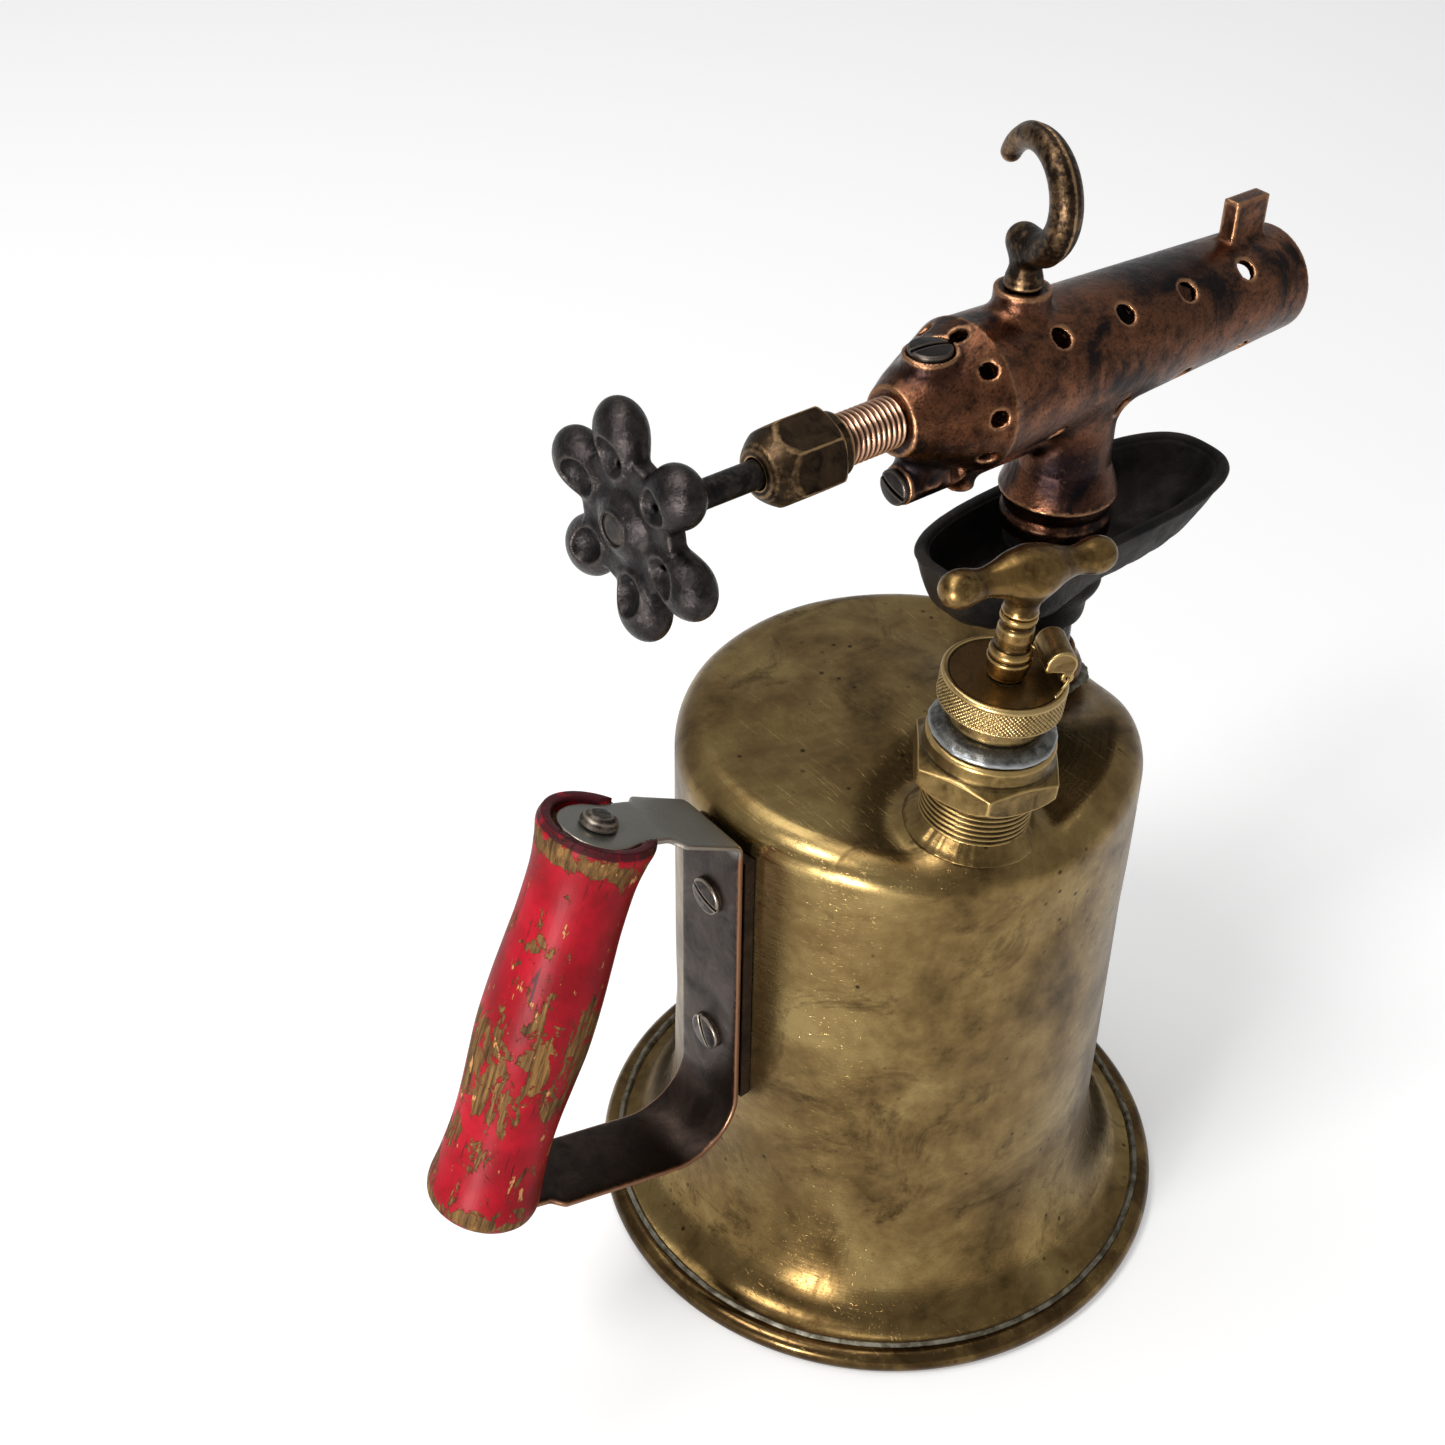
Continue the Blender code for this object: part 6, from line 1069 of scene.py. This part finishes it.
def oval(share_length, share_width, height, inset):
    """Points of one level line, with the power 2 / 2.8 on cosine and sine; the end at -X is the fuller one."""
    turns = np.linspace(0, 2 * np.pi, 240, endpoint=False)
    c, s = np.cos(turns), np.sin(turns)
    x, y = (np.sign(wave) * np.abs(wave) ** (2 / 2.8) for wave in (c, s))
    near = np.clip(-x / 0.6, 0, 1)
    share_length = share_length + 0.55 * (1 - share_length) * (c < 0)
    share_width = share_width + 0.55 * (1 - share_width) * near * near * (3 - 2 * near)
    half_length = np.maximum(42.4 * share_length - inset, 0.02)
    half_width = np.maximum(16.4 * share_width - inset, 0.02)
    return np.stack([6.9 + half_length * x, half_width * y, height + 0 * x], -1)


deep = CUP_DEEP - 1.2
rings = [oval(l, w, CUP_RIM - CUP_DEEP + deep * h / 0.92, 0) for h, l, w in LEVELS[1:]]
rings += [oval(1, 1, CUP_RIM - 1.4 + 1.4 * np.sin(lip), 1.4 - 1.4 * np.cos(lip))
          for lip in np.radians(np.linspace(10, 170, 12))]
rings += [oval(l, w, CUP_RIM - CUP_DEEP + CUP_THICK + (deep - CUP_THICK) * h / 0.92, CUP_THICK)
          for h, l, w in LEVELS[:0:-1]]
bowl = np.array(rings)
rough = 0.16 * np.sin(bowl[..., 0] * 0.9 + 2 * np.sin(bowl[..., 1] * 0.5)) + 0.14 * np.sin(bowl[..., 1] * 1.1 + 1)
bowl[..., 2] += rough * np.clip((CUP_RIM - bowl[..., 2]) / 3, 0, 1) * 0.8
piece("iron_priming_cup", skin(bowl), RISER, sooted_iron, "tank", "priming_cup")
hub = [(7.15, 151.8), (8.4, 151.8), (9.0, 153.2), (9.3, 157.0), (11.6, 160.6), (12.0, 162.0), (10.9, 164.5),
       (10.8, 171.2), (10.2, 171.8), (7.15, 171.8)]
piece("cup_hub", lathe(spaced(eased(hub, 0.9), 0.5, True), 128), RISER, sooted_iron, "tank", takes="cast_iron")

# %% [markdown]
# ## Strap and handle
# The strap is one flat bar of steel. It lies flat on the tank, held by two screws, and its two arms bend
# out and end in round pads, between which the wooden grip is bolted. The middle line is a run of
# straights whose corners are replaced by arcs, and the width is a function of the way along it.

# %% Middle line of the strap
GRIP_LONG = 94.5
GRIP_FLOOR = GRIP_LONG / 2 - 2.6
PAD, ARM, WEB = 8.4, 7.3, 9.7
up = np.array([np.sin(np.radians(GRIP_LEAN)), np.cos(np.radians(GRIP_LEAN))])
inward = np.array([up[1], -up[0]])
high, low = (np.array([GRIP_X, GRIP_Z]) + way * up * (GRIP_FLOOR + 1.1) for way in (1, -1))
bends = [(high - inward * PAD, 0), (high + inward * 12.6, 6), (np.array([STRAP_X, 137.2]), 2.6),
         (np.array([STRAP_X, 45.2]), 13), (low + inward * 12.6, 6), (low - inward * PAD, 0)]


def bent(corners, step=0.5):
    """Straights with arc corners: each corner of radius r is cut back by r / tan(half its angle)."""
    path = [corners[0][0]]
    for (before, _), (corner, radius), (after, _) in zip(corners, corners[1:], corners[2:]):
        back, ahead = (run / np.linalg.norm(run) for run in (before - corner, after - corner))
        half = np.arccos(np.clip(back @ ahead, -1, 1)) / 2
        centre = corner + (back + ahead) / np.linalg.norm(back + ahead) * radius / np.sin(half)
        start, end = (corner + way * radius / np.tan(half) - centre for way in (back, ahead))
        sweep = np.pi - 2 * half
        share = np.linspace(0, 1, max(int(radius * sweep / step), 3) + 1)[:, None]
        path += list(centre + (start * np.sin((1 - share) * sweep) + end * np.sin(share * sweep)) / np.sin(sweep))
    path.append(corners[-1][0])
    return spaced(np.array(path), step)


# %% Strap: its half width is that of a round pad, then of the arm, then of the web on the tank
line = bent(bends)
run = np.concatenate([[0], np.cumsum(np.linalg.norm(np.diff(line, axis=0), axis=1))])
from_tip = np.minimum(run, run[-1] - run)
blend, shoulder = np.clip((from_tip - 9.5) / 5, 0, 1), np.clip((from_tip - 21.5) / 3.5, 0, 1)
round_pad = np.sqrt(np.maximum(PAD ** 2 - np.clip(PAD - from_tip, 0, PAD) ** 2, 0))
half_width = np.where(from_tip < PAD, round_pad, PAD + (ARM - PAD) * blend ** 2 * (3 - 2 * blend))
half_width = np.maximum(half_width + (WEB - ARM) * shoulder ** 2 * (3 - 2 * shoulder), 0.9)
t = np.linspace(0, 2 * np.pi, 56, endpoint=False)
across, through = (np.sign(wave) * np.abs(wave) ** power for wave, power in ((np.cos(t), 0.22), (np.sin(t), 0.5)))
slope = np.gradient(line, axis=0)
slope /= np.linalg.norm(slope, axis=1, keepdims=True)
strap = np.stack([line[:, :1] + slope[:, 1:] * 0.8 * through, half_width[:, None] * across,
                  line[:, 1:] - slope[:, :1] * 0.8 * through], -1)
piece("flat_steel_strap", skin(strap), TANK, strap_steel, "tank", "handle_strap")

# %% Grip
GRIP_PROFILE = np.array([(-0.500, 0.86), (-0.484, 0.95), (-0.452, 0.985), (-0.389, 0.93), (-0.304, 0.885),
                         (-0.220, 0.89), (-0.114, 0.94), (-0.029, 0.975), (0.077, 0.963), (0.183, 0.920),
                         (0.267, 0.885), (0.373, 0.885), (0.440, 0.945), (0.478, 1.00), (0.500, 0.955)])
side_line = smooth_path(GRIP_PROFILE * (GRIP_LONG, 12.3), 150)[:, ::-1]
recess = np.array([(2.9, GRIP_FLOOR), (9.4, GRIP_FLOOR), (9.6, GRIP_FLOOR + 0.2), (9.6, 46.7), (9.9, 47.1)])
grip_profile = np.vstack([recess * (1, -1), side_line, recess[::-1]])


def mouthed(radius, angle, height):
    """The recess wall is open where the strap comes in: heights there are brought down to the floor."""
    x, y = radius * np.cos(angle), radius * np.sin(angle)
    open_here = np.clip((7.9 - np.abs(y)) / 0.5, 0, 1) * np.clip((x - 4) / 1.5, 0, 1)
    limit = GRIP_FLOOR + (1 - open_here) * 20
    return radius, np.clip(height, -limit, limit)


grip = lathe(spaced(grip_profile, 0.7, True), 180, mouthed)
rise = grip[0][:, 2]
# the paint is worn near both ends and where the palm rubs, and scorched at the rims
end_wear = np.exp(-((rise - 42.6) / 2.6) ** 2) + 0.8 * np.exp(-((rise + 44.8) / 1.5) ** 2)
end_wear += 0.26 * np.exp(-((rise + 4) / 15) ** 2) - 0.08
scorch = np.clip((np.abs(rise) - 45.2) / 0.8, 0, 1) * np.where(rise > 0, 1.0, 0.5)
piece("enamelled_grip", grip, GRIP, grip_enamel, "tank", "wooden_grip", end_wear=end_wear, scorch=scorch)

# %% Bolt
seat = GRIP_FLOOR + 1.9 + 0.3
bolt = [(0, -seat - 5.8), (2.4, -seat - 5.8), (2.4, seat), (4.0, seat), (4.0, seat + 0.6), (3.5, seat + 1.7),
        (2.3, seat + 2.4), (0, seat + 2.6)]
piece("round_head_bolt", lathe(spaced(eased(bolt, 0.3, False), 0.6), 72), GRIP, screw_steel, "tank", "grip_bolt")

# %% [markdown]
# ## Pieces of the model that stay
# Plain pieces, and those inside the tank, are right as the model has them. They keep their meshes
# and get a finish of the same family as their neighbours.

# %% Finishes for the pieces that stay
KEPT = (
    (strap_steel, ["saddle_plate"]), (screw_steel, ["grip_nut"]), (spindle_steel, ["riser_pipe"]),
    (fibre_packing, ["riser_washer", "gland_packing"]), (bead_brass, ["supply_tube", "pump_barrel"]),
    (ball_steel, ["needle_point", "check_spring", "check_ball"]), (plunger_hide, ["plunger_leather"]),
    (pump_brass, ["jet", "supply_strainer", "valve_body", "valve_plug", "plunger_washer_upper",
                  "plunger_washer_lower", "plunger_nut"]))
for finish, names in KEPT:
    for name in names:
        for slot in bpy.data.objects[name].material_slots:
            slot.material = finish
print("finished pieces of the model:", sum(len(names) for _, names in KEPT))

# %% [markdown]
# ## Camera
# The camera stands where the photographer stood: a little above the torch, looking down by 38 degrees,
# with a lens of about 53 mm. The three directions of the view are turned into the torch's own frame by
# the angle that the torch stands at on the table.

# %% Camera
from mathutils import Matrix

STANDS_AT = np.radians(38.5)


def torch_frame(vector):
    """A direction on the table turned into the torch's frame: a rotation about Z."""
    x, y, z = vector
    c, s = np.cos(STANDS_AT), np.sin(STANDS_AT)
    return np.array([c * x + s * y, c * y - s * x, z])


def stand(name, data, side, upward, away, place):
    """Puts a camera or lamp in the scene: it looks along the negative of its third direction."""
    made = bpy.data.objects.new(name, data)
    bpy.context.collection.objects.link(made)
    pose = np.eye(4)
    pose[:3] = np.stack([side, upward, away, place], -1)
    made.matrix_world = Matrix(pose.tolist())
    return made


lens = bpy.data.cameras.new("studio_camera")
lens.sensor_width = 36
lens.lens = 53.3
lens.clip_start = 0.01
spot = torch_frame((-40.473, -366.312, 425.742)) * MM + (TANK_X, 0, 0)
bpy.context.scene.camera = stand("studio_camera", lens, torch_frame((0.99993, 0.00753, 0.00957)),
                                 torch_frame((-0.01217, 0.61816, 0.78596)), -torch_frame((0, 0.78602, -0.61821)), spot)
print("camera height in mm:", round(spot[2] / MM))

# %% [markdown]
# ## Floor and light
# The torch stands on a pale paper sweep. Metal shows what stands round it, so the paper and the backdrop
# are lifted for the camera, for glossy rays and for rays through glass, and the light that falls on the
# torch stays plain. A soft key lamp high on the left draws the shoulder and the left of the tank, a small
# low lamp on the left puts the hot spot on the foot, and a large one overhead fills.

# %% Paper floor
paper = bpy.data.materials.new("pale_paper")
paper.use_nodes = True
node = partial(add, paper.node_tree)
seen = node("LightPath").outputs
either = node("Math", seen["Is Camera Ray"], seen["Is Glossy Ray"], operation="MAXIMUM")
either = node("Math", either, seen["Is Transmission Ray"], operation="MAXIMUM")
lift = node("Math", either, 0.14, operation="MULTIPLY")
lift = node("Math", seen["Is Camera Ray"], 0.2, lift, operation="MULTIPLY_ADD")
feed(paper.node_tree.nodes["Principled BSDF"], Base_Color="#e9e9e9", Roughness=0.9, Emission_Color="#ffffff",
     Emission_Strength=lift)
sheet = bpy.data.meshes.new("paper_floor")
half = 1.8
sheet.from_pydata([(-half, -half, 0), (half, -half, 0), (half, half, 0), (-half, half, 0)], [], [(0, 1, 2, 3)])
floor = bpy.data.objects.new("paper_floor", sheet)
bpy.context.collection.objects.link(floor)
floor.data.materials.append(paper)
print("floor in metres:", 2 * half)

# %% Backdrop
world = bpy.data.worlds.new("studio")
bpy.context.scene.world = world
world.use_nodes = True
node = partial(add, world.node_tree)
seen = node("LightPath").outputs
either = node("Math", seen["Is Camera Ray"], seen["Is Transmission Ray"], operation="MAXIMUM")
mirrored = node("Math", seen["Is Glossy Ray"], 0.42, operation="MULTIPLY")
level = node("Math", either, mirrored, operation="MAXIMUM")
level = node("Math", level, 0.24, operation="MAXIMUM")
feed(world.node_tree.nodes["Background"], Color="#ffffff", Strength=level)
print("backdrop nodes:", len(world.node_tree.nodes))

# %% Lamps


def softbox(name, way, size, watts):
    """A square lamp in metres that faces the torch's middle: its -Z runs from its place to there."""
    lamp = bpy.data.lights.new(name, "AREA")
    lamp.shape = "RECTANGLE"
    lamp.size, lamp.size_y, lamp.energy = size, size, watts
    away = torch_frame(way)
    place = away + (TANK_X, 0, 0.12)
    away = away / np.linalg.norm(away)
    side = np.cross((0, 0, 1), away)
    side /= np.linalg.norm(side)
    stand(name, lamp, side, np.cross(away, side), away, place)


softbox("key_lamp", (-0.66, -0.60, 1.15), 0.4, 11)
softbox("low_lamp", (-0.52, -1.0, -0.05), 0.13, 11)
softbox("overhead_lamp", (-0.3, 0.2, 1.5), 1.0, 9)
bpy.context.scene.view_settings.view_transform = "Standard"
